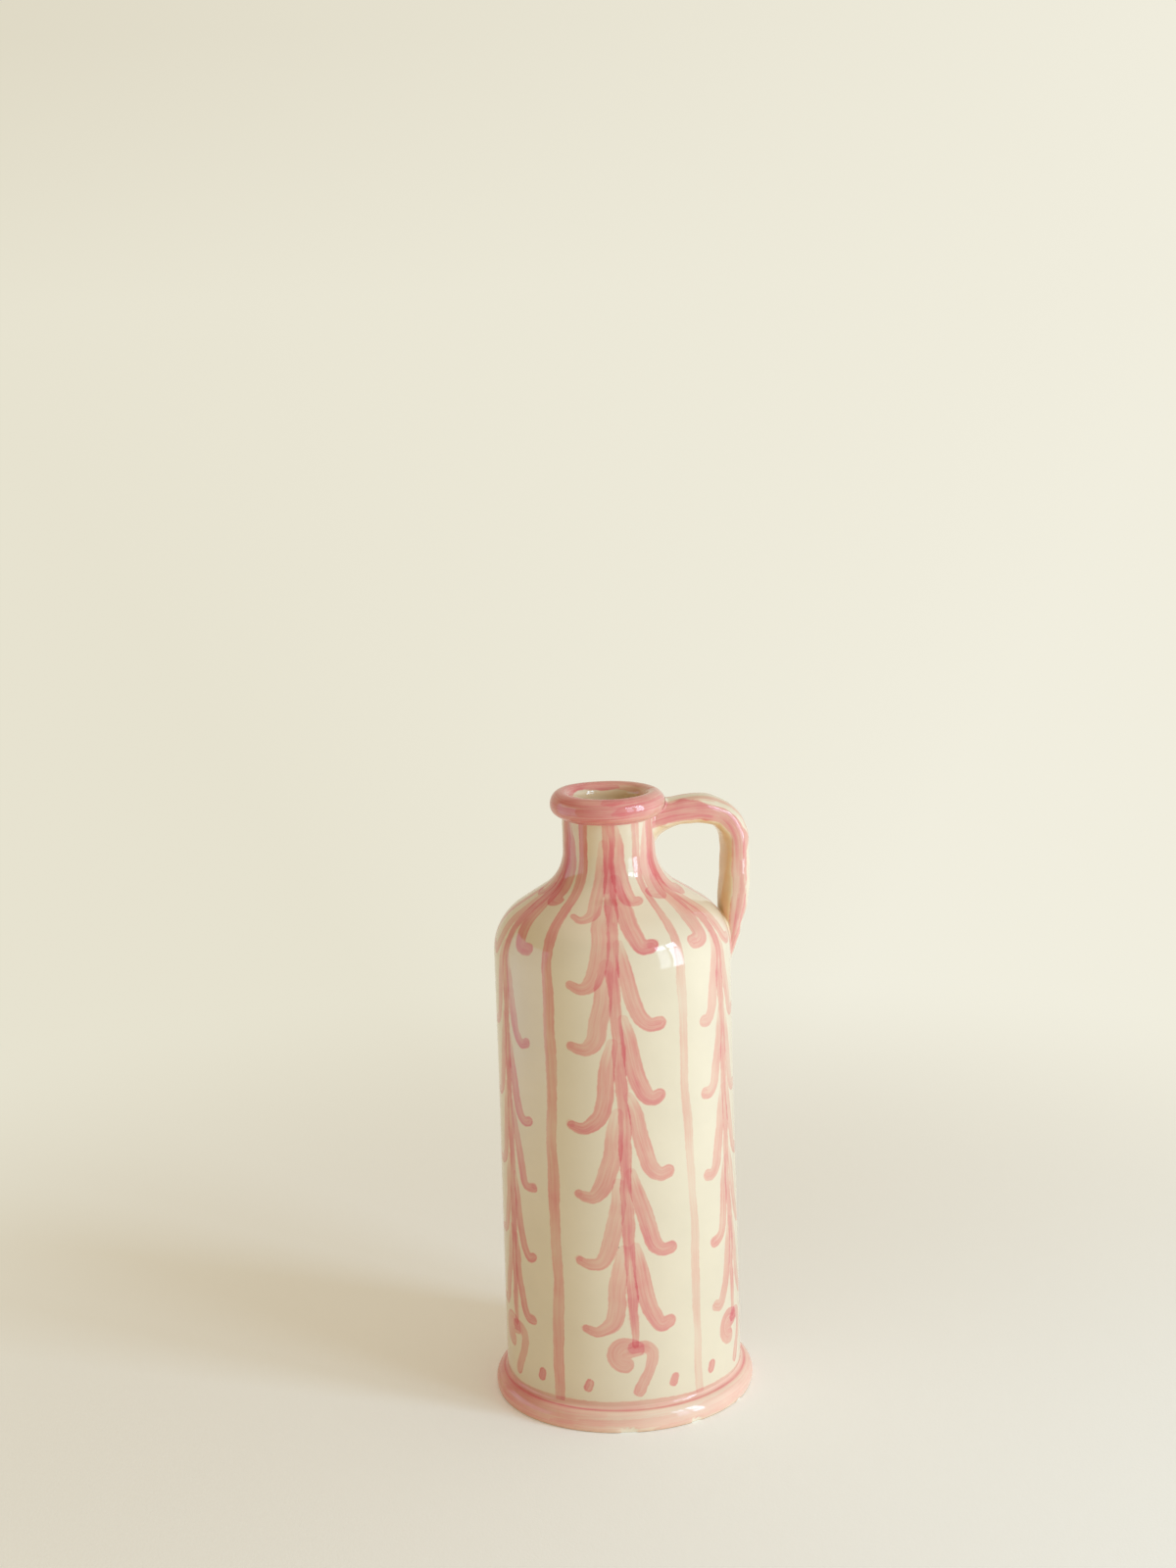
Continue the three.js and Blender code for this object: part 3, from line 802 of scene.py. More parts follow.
class Painter:
    """Paints the bottle's outside with a flat brush."""

    def __init__(self, pot, plan, turn, climb, girth):
        self.plan = plan
        self.wall_radius = pot.sizes.body_radius
        self.low = pot.sizes.foot_height
        profile = resampled(pot.outside, OUTSIDE_STEP)
        self.profile_radius = profile[:, 0]
        self.profile_climb = self.low + travelled(profile)
        self.high = self.profile_climb[-1]
        names = ("leaves", "more_leaves", "hooks", "stems", "cores", "lines")
        self.coats = {name: Coat(turn, climb, girth) for name in names}
        self.rng = None

    def stray(self, size=1.0):
        """A small slip of the hand in mm."""
        return self.rng.normal(0, mm(self.plan.unevenness) * size)

    def breadth(self, climb):
        """The pot's radius at a height, beside that of its wall."""
        return np.interp(climb, self.profile_climb, self.profile_radius) / self.wall_radius

    def lean_line(self, lean):
        """The middle of a stem or line: how far to the right it runs at each height."""
        bend = wander(self.rng, 95, 0.6)
        middle = (self.low + self.high) / 2
        reach = self.high - self.low

        def offset(climb):
            leaned = lean * np.minimum((middle - climb) / reach, LEAN_STOP)
            return (leaned + bend(climb)) * self.breadth(climb)

        return offset

    def leaf(self, coat, side, tip, about, middle, reach, force, small, hangs):
        """A broad wash that hangs from the stem and hooks outwards, with a fuller streak along it."""
        plan = self.plan
        rng = self.rng
        spread = (mm(plan.leaf_reach) * reach + self.stray(0.3)) * self.breadth(tip) ** 0.8 / LEAF_SPAN
        shape = np.array(HANGING_LEAF if hangs else SWEEPING_LEAF)
        shape[1:, :2] += rng.normal(0, mm(plan.unevenness) * 0.38, shape[1:, :2].shape)
        broad = mm(plan.leaf_width) / LEAF_WASH * rng.uniform(0.90, 1.06)
        thick = mm(plan.hook_width) / LEAF_HOOK * rng.uniform(0.88, 1.06)
        shape[:, 2] *= np.where(shape[:, 1] > 1, broad, thick) * small
        curve = through(shape, CURVE_STEPS)
        path, half = curve[:, :2], curve[:, 2]
        run = np.gradient(path, axis=0)
        inward = np.stack([run[:, 1], -run[:, 0]], 1) / np.hypot(run[:, 0], run[:, 1])[:, None]
        t = np.linspace(0, 1, len(path))
        force *= rng.uniform(0.88, 1.14)
        wash = self.placed(path, side, tip, spread, middle)
        full, more = (0.60, 0.20) if hangs else (0.68, 0.08)
        load = FIRST_LOAD + (full - FIRST_LOAD) * smooth(t, 0, 0.22) + more * smooth(t, 0.72, 0.95)
        coat.brush(wash, half, force * load, about)
        streak = self.placed(path + inward * (half * 0.52)[:, None], side, tip, spread, middle)
        weight = rng.uniform(0.08, 0.26) * smooth(t, 0.22, 0.50) * (1 - 0.6 * smooth(t, 0.85, 1))
        late = slice(STREAK_START, None)
        self.coats["hooks"].brush(streak[late], (half * 0.42)[late], (force * weight)[late], about)
        if rng.random() < (0.6 if hangs else 0.25):
            # The brush rests beside the tip before it lifts.
            rest = wash[-1] + (side * 0.1 + self.stray(0.2), 0.5 + self.stray(0.2))
            lift = rest + (side * rng.uniform(0.4, 1.2), rng.uniform(-0.2, 0.5))
            size = half[-1] * rng.uniform(0.72, 0.88)
            self.coats["lines"].brush([rest, lift], [size, size * 0.9], rng.uniform(0.10, 0.22), about)

    def placed(self, path, side, tip, spread, middle):
        """A leaf's path moved to its side of the stem."""
        climb = path[:, 1] + tip
        level = tip + (climb - tip) * 0.75
        return np.stack([side * spread * path[:, 0] + middle(level), climb], 1)

    def stem(self, about, middle, tips, force):
        """A thin wash from the neck down, with redder cores where the brush was full."""
        plan = self.plan
        stop = mm(plan.lowest_tip) - STEM_END
        climb = np.arange(self.high + 1, stop, -2.0)
        sway = wander(self.rng, 40, 0.35)
        swell = wander(self.rng, 33, 0.30)
        shade = wander(self.rng, 26, 0.07)
        path = np.stack([middle(climb) + sway(climb), climb], 1)
        half = mm(plan.stem_width) / 2 * (0.70 + 0.30 * smooth(climb, 38, 80)) + swell(climb)
        self.coats["stems"].brush(path, half, force * (0.68 + shade(climb)), about)
        for tip in tips:
            start = tip + self.rng.uniform(20, 27)
            climb = np.linspace(start, start - self.rng.uniform(22, 31), 14)
            t = np.linspace(0, 1, len(climb))
            path = np.stack([middle(climb) + sway(climb) + self.stray(0.35), climb], 1)
            half = mm(plan.stem_width) * self.rng.uniform(0.48, 0.62) * (1 - 0.25 * t)
            weight = force * self.rng.uniform(0.26, 0.44) * smooth(t, 0, 0.25) * (1 - smooth(t, 0.55, 1))
            self.coats["cores"].brush(path, half, weight, about)

    def curl(self, about, middle):
        """The curl that ends the stem: a bud to one side and a tail to the other."""
        foot = mm(self.plan.lowest_tip) - TENDRIL_START
        place = np.array([middle(foot), foot])
        bud = through(place + np.array(BUD), CURVE_STEPS)
        tail = through(place + np.array(TAIL), CURVE_STEPS)
        t = np.linspace(0, 1, len(bud))
        self.coats["leaves"].brush(bud, 2.7 + 0.6 * smooth(t, 0.1, 0.7), 0.70 - 0.06 * t, about)
        t = np.linspace(0, 1, len(tail))
        half = 2.5 - 0.3 * bell(t, 0.7, 0.15)
        self.coats["hooks"].brush(tail, half, 0.60 + 0.14 * bell(t, 1, 0.2), about)
        self.coats["leaves"].brush(place + np.array(BUD_FILLING), 2.4, 0.66, about)
        self.coats["cores"].brush(place + np.array(TENDRIL_CORE), 2.1, 0.24, about)

    def column(self, about, lean, index):
        """A stem with its pairs of leaves, its curl and a dot on each side."""
        plan = self.plan
        self.rng = np.random.default_rng(plan.seed * COLUMN_SEEDS + index)
        middle = self.lean_line(lean)
        rises = TIP_RISES.get(index, self.rng.normal(1, 2, (2, LEAF_PAIRS)))
        even = mm(plan.lowest_tip) + np.arange(LEAF_PAIRS) * mm(plan.leaf_pitch)
        tips = np.minimum(even + np.array(rises), self.high - TIP_ROOM)
        reaches = TIP_REACHES.get(index, self.rng.uniform(0.94, 1.06, (2, LEAF_PAIRS)))
        force = COLUMN_LOADS[index]
        self.stem(about, middle, tips[1], force)
        for pair in range(LEAF_PAIRS):
            for side, tip in zip((-1, 1), tips[:, pair]):
                small = COLUMN_WIDTHS[index] + TOP_WIDTHS.get((index, pair, side), 0.0)
                reach = COLUMN_REACHES[index] * reaches[int(side > 0)][pair]
                coat = self.coats["leaves" if pair % 2 == 0 else "more_leaves"]
                self.leaf(coat, side, tip + self.stray(0.4), about, middle, reach, force, small,
                          hangs=side < 0 and index != 1)
        self.curl(about, middle)
        for side in (-1, 1):
            x = side * (DOT_DISTANCE + self.stray(0.4)) + middle(20) + DOT_SHIFTS.get(index, 0)
            y = mm(plan.dot_height) + self.stray(0.5)
            self.coats["lines"].brush([(x - 0.35, y - 1.0), (x + 0.35, y + 1.0)], DOT_TOUCHES,
                                      self.rng.uniform(0.85, 1.1), about)

    def line(self, about, lean, index):
        """A plain line from the neck down to the foot."""
        self.rng = np.random.default_rng(self.plan.seed * LINE_SEEDS + index)
        climb = np.arange(self.high + 1, self.low, -3.0)
        middle = self.lean_line(lean)
        width = wander(self.rng, 60, 0.22)
        thick = wander(self.rng, 80, 0.10)
        across = middle(climb) + LINE_NECK_SHIFTS[index] * smooth(climb, *LINE_SHIFTS)
        half = mm(self.plan.line_width) / 2 * LINE_WIDTHS[index] + width(climb)
        half = half - 0.35 * smooth(climb, *LINE_THINS)
        load = LINE_LOADS[index] + thick(climb) + 0.32 * smooth(climb, *LINE_REDDENS)
        self.coats["lines"].brush(np.stack([across, climb], 1), half, load, about)

    def band(self):
        """The pink band over the foot."""
        coat = self.coats["more_leaves"]
        uneven = 0.35 * np.sin(3 * coat.turn + 0.4) + 0.2 * np.sin(8 * coat.turn + 2)
        above = coat.climb - (mm(self.plan.band_top) + uneven)
        coat.cover(np.where(coat.climb > 0, above, FAR), above, coat.turn * coat.girth, 0.50)

    def paint(self):
        facing = self.plan.facing
        for index, (turn, lean) in enumerate(zip(COLUMN_TURNS, COLUMN_LEANS)):
            self.column(facing + math.radians(turn), lean, index)
        for index, (turn, lean) in enumerate(zip(LINE_TURNS, LINE_LEANS)):
            self.line(facing + math.radians(turn), lean, index)
        self.band()
        self.coats["cores"].edge *= CORE_EDGE


# The pieces

# Height of the hidden tops and bottoms that lie inside the clay of another piece, in mm
HIDDEN_BOTTLE_FLOOR = 2.5
HIDDEN_BASE_TOP = 5.2
# How thin the glaze lies inside the bottle, from 0 to 1: its tan is thin glaze and painted shade in the
# hollow
INSIDE_THIN_AND_SHADE = 0.55
# Shares of the painted map's height at which the outside starts and ends
OUTSIDE_MAP = (0.05, 0.79)
# Unpainted chips along the foot: direction in radians, top and half width in mm
CHIPS = ((-1.768, 2.0, 3.6), (-1.222, 1.9, 2.4), (-0.72, 0.8, 2.0), (1.1, 1.4, 3.0), (2.7, 0.9, 2.2))
# Direction in which the mouth is pressed a little flat, in degrees
FLAT_SPOT = -74
# Direction in which the mouth's pink is fullest, in degrees: the side turned from the window, so that the
# fuller pink there is partly painted shade and the thinner pink towards the window partly painted light
FULL_AND_SHADED_RIM = -165
# Squareness of the strap's section, where 2 is round: outer side, inner side, inner side's width
STRAP_SQUARENESS = (2.15, 3.5, 3.2)
# Angles round the strap's section at which its four edges wander
STRAP_EDGES = (0.7, 2.4, -2.5, -0.65)
STRAP_SEED = 31
STRAP_PAINT_SEED = 12
# How deep the strap's first ring lies in the neck, in mm
STRAP_ROOT = 2.8


def throw_bottle(pot, plan, look):
    """The wall, shoulder and neck as one thrown skin, outside and inside, and its painting."""
    m = pot.sizes
    inner_foot = m.body_radius - m.shell
    fillet = 4.0
    hidden = np.array([(4, HIDDEN_BOTTLE_FLOOR + 0.1), (m.body_radius * 0.5, HIDDEN_BOTTLE_FLOOR),
                       (m.body_radius - 3, HIDDEN_BOTTLE_FLOOR), (m.body_radius - 0.2, 3.2)])
    outside = resampled(pot.outside, OUTSIDE_STEP)
    low = resampled([(m.body_radius - 0.02, 4.0), (m.body_radius, m.foot_height)], OUTSIDE_STEP)[:-1]
    lip = np.array([(m.neck_radius - 0.3, m.seat + 1.6), (m.neck_radius - 1.4, m.seat + 2.4),
                    (m.bore + 1.5, m.seat + 2.4), (m.bore + 0.9, m.seat + 0.5),
                    (m.bore + 0.25, m.seat - 0.7)])
    bore = resampled([(m.bore, m.seat - 1.3), (m.bore, m.neck_bottom)], 1.2)
    inner_shoulder = resampled(pot.shoulder_line(m.shell)[::-1], 2.5)[1:]
    inner_wall = resampled([(m.wall_top_radius - m.shell, m.wall_top), (inner_foot, m.floor_top + fillet)],
                           INSIDE_STEP)[1:]
    corner = arc((inner_foot - fillet, m.floor_top + fillet), (fillet, fillet), 0, -math.pi / 2, 5)[1:]
    floor = resampled([(inner_foot - fillet, m.floor_top), (4, m.floor_top)], INSIDE_STEP)[1:]
    line = np.concatenate([hidden, low, outside, lip, bore, inner_shoulder, inner_wall, corner, floor])
    first = len(hidden) + len(low)
    last = first + len(outside)
    climb = travelled(line)
    bake = np.interp(climb, climb[[0, first, last - 1, -1]], (0, *OUTSIDE_MAP, 1))
    piece, turn, radius, height = turned(pot, "thrown_bottle", line, closed=False, climb=bake)
    rows = np.arange(len(line))
    painted = (rows >= len(hidden)) & (rows < last)
    up = np.repeat(np.where(painted, m.foot_height + climb - climb[first], UNREACHED), ROUND_COLUMNS)
    painter = Painter(pot, plan, point_values(piece, turn, 0.0), point_values(piece, up, UNREACHED),
                      point_values(piece, radius, 1.0))
    painter.paint()
    keep_coats(piece, painter.coats)
    # Tan, darker glaze round the neck, fullest on the side turned from the window: partly tanner glaze,
    # partly painted shade
    neck_tan_and_shade = np.repeat(smooth(line[:, 1], m.neck_bottom - 12, m.neck_bottom + 6), ROUND_COLUMNS)
    neck_tan_and_shade *= 0.32 * np.maximum(0, np.cos(turn + 2.4)) ** 2
    # Inside, the glaze is tan and darker: thin glaze, and painted shade in the hollow
    thin_glaze_and_shade = np.where(np.repeat(rows, ROUND_COLUMNS) >= last, INSIDE_THIN_AND_SHADE, neck_tan_and_shade)
    give(piece, "thin_glaze_and_shade", point_values(piece, thin_glaze_and_shade, INSIDE_THIN_AND_SHADE))
    finished(piece, "painted_glaze", glaze("painted cream glaze", look, painter.coats),
             "body_wall", "shoulder", "neck")


def turn_base(pot, look):
    """The flat unglazed underside with its turning marks."""
    edge = pot.sizes.body_radius - 1.0
    rim = edge + 0.3
    under = resampled([(3, 0.55), (edge - 9, 0.42), (edge, 0.30)], 1.5)
    top = resampled([(edge - 4, HIDDEN_BASE_TOP), (3, HIDDEN_BASE_TOP)], 9.0)
    line = np.concatenate([under, [(rim, 0.8), (rim, 4.2), (edge - 1, 5.0)], top])

    def marks(turns, radius, height):
        spiral = 0.07 * np.sin(FULL_TURN * radius / 2.4 + turns)
        return np.where(height < 0.7, spiral, 0)

    piece = turned(pot, "turned_base", line, closed=False, lift=marks)[0]
    finished(piece, "bare_clay", bare_clay("bare clay", look), "base_disc")


def scattered(rng, count, *spans):
    """Strokes round a ring: a direction and one number from each span."""
    spans = ((-math.pi, math.pi), *spans)
    return [[rng.uniform(*span) for span in spans] for _ in range(count)]


def ring_coats(turn, meridian, total, girth, rng, load, strokes):
    """A full wash round a rolled ring and shorter strokes laid over it."""
    coat = Coat(turn, meridian, girth)
    shade = wander(rng, FULL_TURN, 0.16)
    coat.cover(np.where(meridian < total, -2.0, meridian - total - 1),
               meridian * 1.6 + 0.8 * np.sin(2 * turn), turn * girth * 0.7, load + shade(turn))
    over = Coat(turn, meridian, girth)
    for about, level, reach, width, weight, slant in strokes:
        path = bezier([(-reach, level - 0.9 - slant), (-reach / 3, level + 0.6), (reach / 3, level - 0.4),
                       (reach, level + 0.8 + slant)], 30)
        t = np.linspace(0, 1, len(path))
        half = width / 2 * (0.35 + 0.65 * smooth(t, 0, 0.12)) * (1 - 0.5 * smooth(t, 0.72, 1))
        over.brush(path, half, weight * (1 - 0.45 * t), about)
    return coat, over


def chipped(turns, height, girth):
    """How deep each point of the foot lies in a chip, from 0 to 1."""
    depth = np.zeros_like(turns)
    for about, top, wide in CHIPS:
        x = wrapped(turns - about) * girth
        ragged = 0.35 * np.sin(x * 2.9 + about * 5) + 0.2 * np.sin(x * 6.1)
        chip = smooth(top + ragged + 0.35 - height, 0, 0.5) * smooth(wide - np.abs(x), 0, 0.8)
        depth = np.maximum(depth, chip)
    return depth


def roll_foot(pot, plan, look):
    """The rolled ring at the foot, its glaze-filled crease and its chips."""
    m = pot.sizes
    pool = mm(pot.clay.glaze_pool)
    edge_round = 0.8
    widest = 3.0
    lower = arc((m.foot_radius - edge_round, widest), (edge_round, widest), -math.pi / 2, 0, ARC_STEPS)
    upper = arc((m.body_radius, widest), (m.foot_radius - m.body_radius, m.foot_height - widest), 0,
                math.radians(72), 40)
    crease = bezier([upper[-1], (m.body_radius + 0.16, m.foot_height + 0.12),
                     (m.body_radius + 0.02, m.foot_height + pool)], 12)
    shown = resampled(joined([(m.body_radius - 1.0, 0.0)], lower, upper, crease), RING_STEP)
    hidden = np.array([(m.body_radius - 0.7, m.foot_height + pool + 0.1),
                       (m.body_radius - 1.6, m.foot_height - 1.5),
                       (m.body_radius - 1.9, 3.0), (m.body_radius - 1.8, 0.9)])
    line = np.concatenate([shown, hidden])
    rng = np.random.default_rng(plan.seed + 1)
    sag = wander(rng, FULL_TURN, 0.12)

    def shift(turns, radius, height):
        outer = smooth(radius, m.body_radius + 1.5, m.foot_radius - 0.5)
        return outer * (sag(turns) * smooth(height, 0.2, 4) - 0.45 * chipped(turns, height, m.foot_radius))

    def lift(turns, radius, height):
        outer = smooth(radius, m.body_radius + 0.6, m.body_radius + 2)
        return sag(turns + 1.3) * smooth(height, 3, 8) * outer

    piece, turn, radius, height = turned(pot, "rolled_foot", line, closed=True, lift=lift, shift=shift)
    meridian = np.repeat(travelled(line), ROUND_COLUMNS)
    total = travelled(shown)[-1]
    strokes = scattered(rng, 22, (7, total - 3), (18, 42), (1.6, 4.0), (0.08, 0.30), (-1, 1))
    coat, over = ring_coats(turn, meridian, total, radius, rng, 0.32, strokes)
    coat.load += 0.62 * np.maximum(0, -np.cos(turn)) ** 1.5
    crease_start = total - pool - 0.9
    coat.load = np.maximum(coat.load, 0.46 * smooth(meridian, crease_start, crease_start + 0.6))
    # A dark line along the crease: pooled pigment, and painted shade in the crease
    coat.load += 0.95 * bell(meridian, crease_start, 0.50)
    coat.load *= 1 - 0.15 * smooth(2.2 - height, 0, 1.6)
    chip = chipped(turn, height, m.foot_radius)
    coat.load *= 1 - chip
    over.load *= 1 - chip
    keep_coats(piece, {"coat": coat, "strokes": over})
    turned_in = (radius < m.body_radius + 0.6) & (height < 1.5)
    give(piece, "bare", np.where(turned_in, 1.0, smooth(0.75 - height, 0, 0.5) * (1 - chip)))
    give(piece, "thin_glaze_and_shade", 0.32 * smooth(2.2 - height, 0, 1.8) * (1 - chip))
    # The foot's ground is the brighter cream, which paints light onto the roll
    material = glaze("pink foot glaze", look, ["coat", "strokes"], bare=True, ground=look.lit_foot_cream)
    finished(piece, "pink_glaze", material, "foot_roll")


def roll_rim(pot, plan, look):
    """The rolled mouth, pink outside and cream inside."""
    m = pot.sizes
    pool = mm(pot.clay.glaze_pool)
    roll = pot.rim_line()
    over_crease = roll[np.linspace(-90, 180, len(roll)) >= -70]
    crease = bezier([(m.neck_radius + 0.02, m.seat - pool * 0.5), (m.neck_radius + 0.08, m.seat + 0.1),
                     over_crease[0]], 12)
    shown = resampled(joined(crease, over_crease, [(m.bore, m.seat - 0.9)]), RING_STEP)
    hidden = np.array([(m.bore + 0.5, m.seat - 1.6), (m.bore + 2.2, m.seat - 1.9),
                       (m.neck_radius - 1.2, m.seat - 1.8)])
    line = np.concatenate([shown, hidden])
    rng = np.random.default_rng(plan.seed + 2)
    sag = wander(rng, FULL_TURN, 0.30)
    push = wander(rng, FULL_TURN, 0.28)

    def shift(turns, radius, height):
        outer = smooth(height, m.seat + 0.6, m.seat + 3)
        from_flat = turns - math.radians(FLAT_SPOT)
        flat = -0.30 * np.cos(6 * from_flat) * bell(wrapped(from_flat), 0, 0.5)
        return outer * (push(turns) + flat) * smooth(radius, m.bore + 1, m.rim_radius - 1)

    def lift(turns, radius, height):
        return sag(turns) * smooth(height, m.seat + 4, m.height) - 0.12

    piece, turn, radius, height = turned(pot, "rolled_rim", line, closed=True, lift=lift, shift=shift)
    meridian = np.repeat(travelled(line), ROUND_COLUMNS)
    inner = travelled(shown)[-1] - (m.height - m.seat) + 1.7
    total = inner + 0.5 * np.sin(2 * turn + 0.5) + 0.4 * np.sin(5 * turn)
    strokes = scattered(rng, 20, (3, inner - 1), (9, 24), (2.4, 5.5), (0.18, 0.50), (-2.5, 2.5))
    coat, over = ring_coats(turn, meridian, total, radius, rng, 0.70, strokes)
    # Fuller pink on the side turned from the window and thinner towards it: the brush's uneven load, and
    # painted shade and light
    coat.load += 0.15 + 0.31 * np.cos(turn - math.radians(FULL_AND_SHADED_RIM))
    coat.edge = np.clip(np.maximum(-2.0 - meridian, meridian - total), -FAR, FAR)
    over.edge = np.maximum(over.edge, coat.edge)
    keep_coats(piece, {"coat": coat, "strokes": over})
    # Tan, darker glaze inside the mouth: thin glaze and painted shade in the hollow; also a band of thin
    # glaze low on the roll
    give(piece, "thin_glaze_and_shade", 0.50 * smooth(meridian, inner - 1.0, inner + 1.5) + 0.22 * bell(meridian, 3.2, 2.2))
    finished(piece, "pink_glaze", glaze("pink rim glaze", look, ["coat", "strokes"]), "rim_roll")


class Strap:
    """The pulled strap: its middle line, its rounded section and its unevenness, in mm."""

    hidden_tail = 4.0

    def __init__(self, pot):
        clay = pot.clay
        m = pot.sizes
        self.thick = mm(clay.strap_thickness)
        self.wide = mm(clay.strap_width)
        self.spread = mm(clay.strap_spread)
        self.tail = mm(clay.strap_tail)
        half = self.thick / 2
        bend = mm(clay.strap_bend)
        level = m.strap_top - half
        reach = m.strap_reach + 0.9 - half
        root = (m.neck_radius - 7.0, m.height - 13.2)
        bend_x = reach - bend
        bend_z = level - bend
        end = (m.wall_top_radius - 2.4, m.wall_top - 8.0)
        corner = bend * 0.64
        third = (bend_x - root[0]) / 3
        drop = bend_z - end[1]
        over = bezier([root, (root[0] + third, root[1] + (level - root[1]) * 0.8), (bend_x - third, level),
                       (bend_x, level)], 120)
        round_ = bezier([(bend_x, level), (bend_x + corner, level), (reach, bend_z + corner),
                         (reach, bend_z)], 120)
        down = bezier([(reach, bend_z), (reach, bend_z - drop / 3),
                       (end[0] + (reach - end[0]) * 0.8, end[1] + drop / 4), end], 160)
        self.line = joined(over, round_, down)
        self.length = travelled(self.line)[-1]
        # The middle line goes on into the clay, so that the tail's skin starts inside the pot.
        onward = (down[-1] - down[-2]) / np.linalg.norm(down[-1] - down[-2])
        self.line = np.concatenate([self.line, [self.line[-1] + onward * self.hidden_tail]])
        self.place = travelled(self.line)
        rng = np.random.default_rng(STRAP_SEED)
        uneven = mm(clay.strap_unevenness)
        self.wide_wave = wander(rng, 46, uneven)
        self.thick_wave = wander(rng, 38, uneven * 0.8)
        self.edge_waves = [wander(rng, 23, uneven * 0.9) for _ in STRAP_EDGES]
        self.turns = self.even_turns()

    def section(self, turns, half_wide, half_thick):
        """Flat towards the pot with firm corners, rounder on the outside."""
        outer, inner, inner_wide = STRAP_SQUARENESS
        cos, sin = np.cos(turns), np.sin(turns)
        power = np.where(sin > 0, 2 / outer, 2 / inner)
        wide_power = np.where(sin > 0, 2 / outer, 2 / inner_wide)
        across = half_wide * np.sign(cos) * np.abs(cos) ** wide_power
        out = half_thick * np.sign(sin) * np.abs(sin) ** power
        return across, out

    def even_turns(self):
        """Angles round the section that lie an even step apart on the skin."""
        fine = np.linspace(0, FULL_TURN, 4001)
        across, out = self.section(fine, self.wide / 2, self.thick / 2)
        place = travelled(np.stack([across, out], 1))
        wanted = np.linspace(0, place[-1], STRAP_SIDES, endpoint=False)
        return np.interp(wanted, place, fine)

    def run(self, place, column):
        """The middle line's change along one axis, close to a place."""
        near = 0.5
        line = self.line[:, column]
        return np.interp(place + near, self.place, line) - np.interp(place - near, self.place, line)

    def at(self, place, turns):
        """Points on the strap's skin at places along it, for angles round its section."""
        place, turns = np.broadcast_arrays(place, turns)
        x = np.interp(place, self.place, self.line[:, 0])
        z = np.interp(place, self.place, self.line[:, 1])
        run_x, run_z = self.run(place, 0), self.run(place, 1)
        size = np.hypot(run_x, run_z)
        run_x, run_z = run_x / size, run_z / size
        part = place / self.length
        near_root = 1 - smooth(part, 0, 0.22)
        near_tail = smooth(part, 0.72, 1)
        half_wide = (self.wide + (self.spread - self.wide) * np.maximum(near_root, near_tail)) / 2
        half_thick = (self.thick + (self.tail - self.thick) * near_tail) / 2
        half_wide = half_wide + self.wide_wave(place)
        half_thick = half_thick + self.thick_wave(place)
        across, out = self.section(turns, half_wide, half_thick)
        corners = sum(wave(place) * bell(wrapped(turns - where), 0, 0.5)
                      for wave, where in zip(self.edge_waves, STRAP_EDGES))
        groove = -0.22 * bell(across, 0.6 * np.sin(place / 19), 2.2) * (np.sin(turns) > 0.2)
        out = out + (corners * np.sign(np.sin(turns)) + groove) * (1 - near_tail * 0.5)
        across = across + corners * 0.5 * np.sign(np.cos(turns))
        return np.stack([x + out * -run_z, across, z + out * run_x], -1)


# Strokes along the strap: start, stop, middle and width in mm, and weight
OUTER_STROKES = ((12, 50, 1.6, 3.0, 0.5), (44, 80, -2.0, 2.6, 0.45), (60, 98, 3.6, 2.4, 0.4),
                 (66, 98, -4.6, 2.6, 0.5))
SIDE_STROKES = ((0, 30, -1.6, 2.6, 0.36), (8, 48, 2.0, 2.2, 0.26), (34, 62, -1.0, 2.0, 0.26),
                (48, 66, 2.2, 1.8, 0.55), (56, 80, 0.4, 1.8, 0.40), (64, 88, 2.8, 1.6, 0.50),
                (70, 99, -0.8, 1.8, 0.46), (84, 99, 1.6, 2.8, 0.45))


def strap_coats(strap, place, turns):
    """Pink on the strap's two sides, cream and streaks on its outer face, thin glaze on its inner face."""
    across, out = strap.section(turns, strap.wide / 2, strap.thick / 2)
    side = np.sign(across)
    rng = np.random.default_rng(STRAP_PAINT_SEED)
    brim = wander(rng, 31, 0.9)
    inner = wander(rng, 27, 0.35)
    outer_room = 3.1 + 1.5 * (1 - smooth(place, 8, 34)) + brim(place + side * 17) - out
    inner_room = out + strap.thick / 2 - 2.3 - inner(place + side * 11)
    coat = Coat(place * 0, place, place * 0 + 1)
    fade = 1 - 0.38 * smooth(place, 28, 58)
    shade = wander(rng, 30, 0.10)
    coat.cover(np.clip(-np.minimum(outer_room, inner_room), -FAR, FAR), out * 1.2 + side * 9, place * 0.8,
               (0.78 + shade(place)) * fade)
    over = Coat(across, place, place * 0 + 1)
    beside = Coat(out, place, place * 0 + 1)
    for strokes, brushed, sway in ((OUTER_STROKES, over, 0.7), (SIDE_STROKES, beside, 0.4)):
        for start, stop, x, width, weight in strokes:
            t = np.linspace(0, 1, 20)
            path = np.stack([x + sway * np.sin(4 * t + start), start + (stop - start) * t], 1)
            brushed.brush(path, width / 2 * (0.5 + 0.5 * np.sin(t * math.pi)), weight * (1 - 0.4 * t))
    over.edge = np.where(out > 3.4, over.edge, FAR)
    beside.edge = np.where(np.abs(across) > strap.wide / 2 - 2.6, np.maximum(beside.edge, -inner_room), FAR)
    thin_glaze_and_shade = smooth(-out, strap.thick / 2 - 3.2, strap.thick / 2 - 1.4) * 0.95
    thin_glaze_and_shade = np.maximum(thin_glaze_and_shade, 0.08 * smooth(-out, -1, 3))
    return {"coat": coat, "strokes": over, "side_strokes": beside}, thin_glaze_and_shade


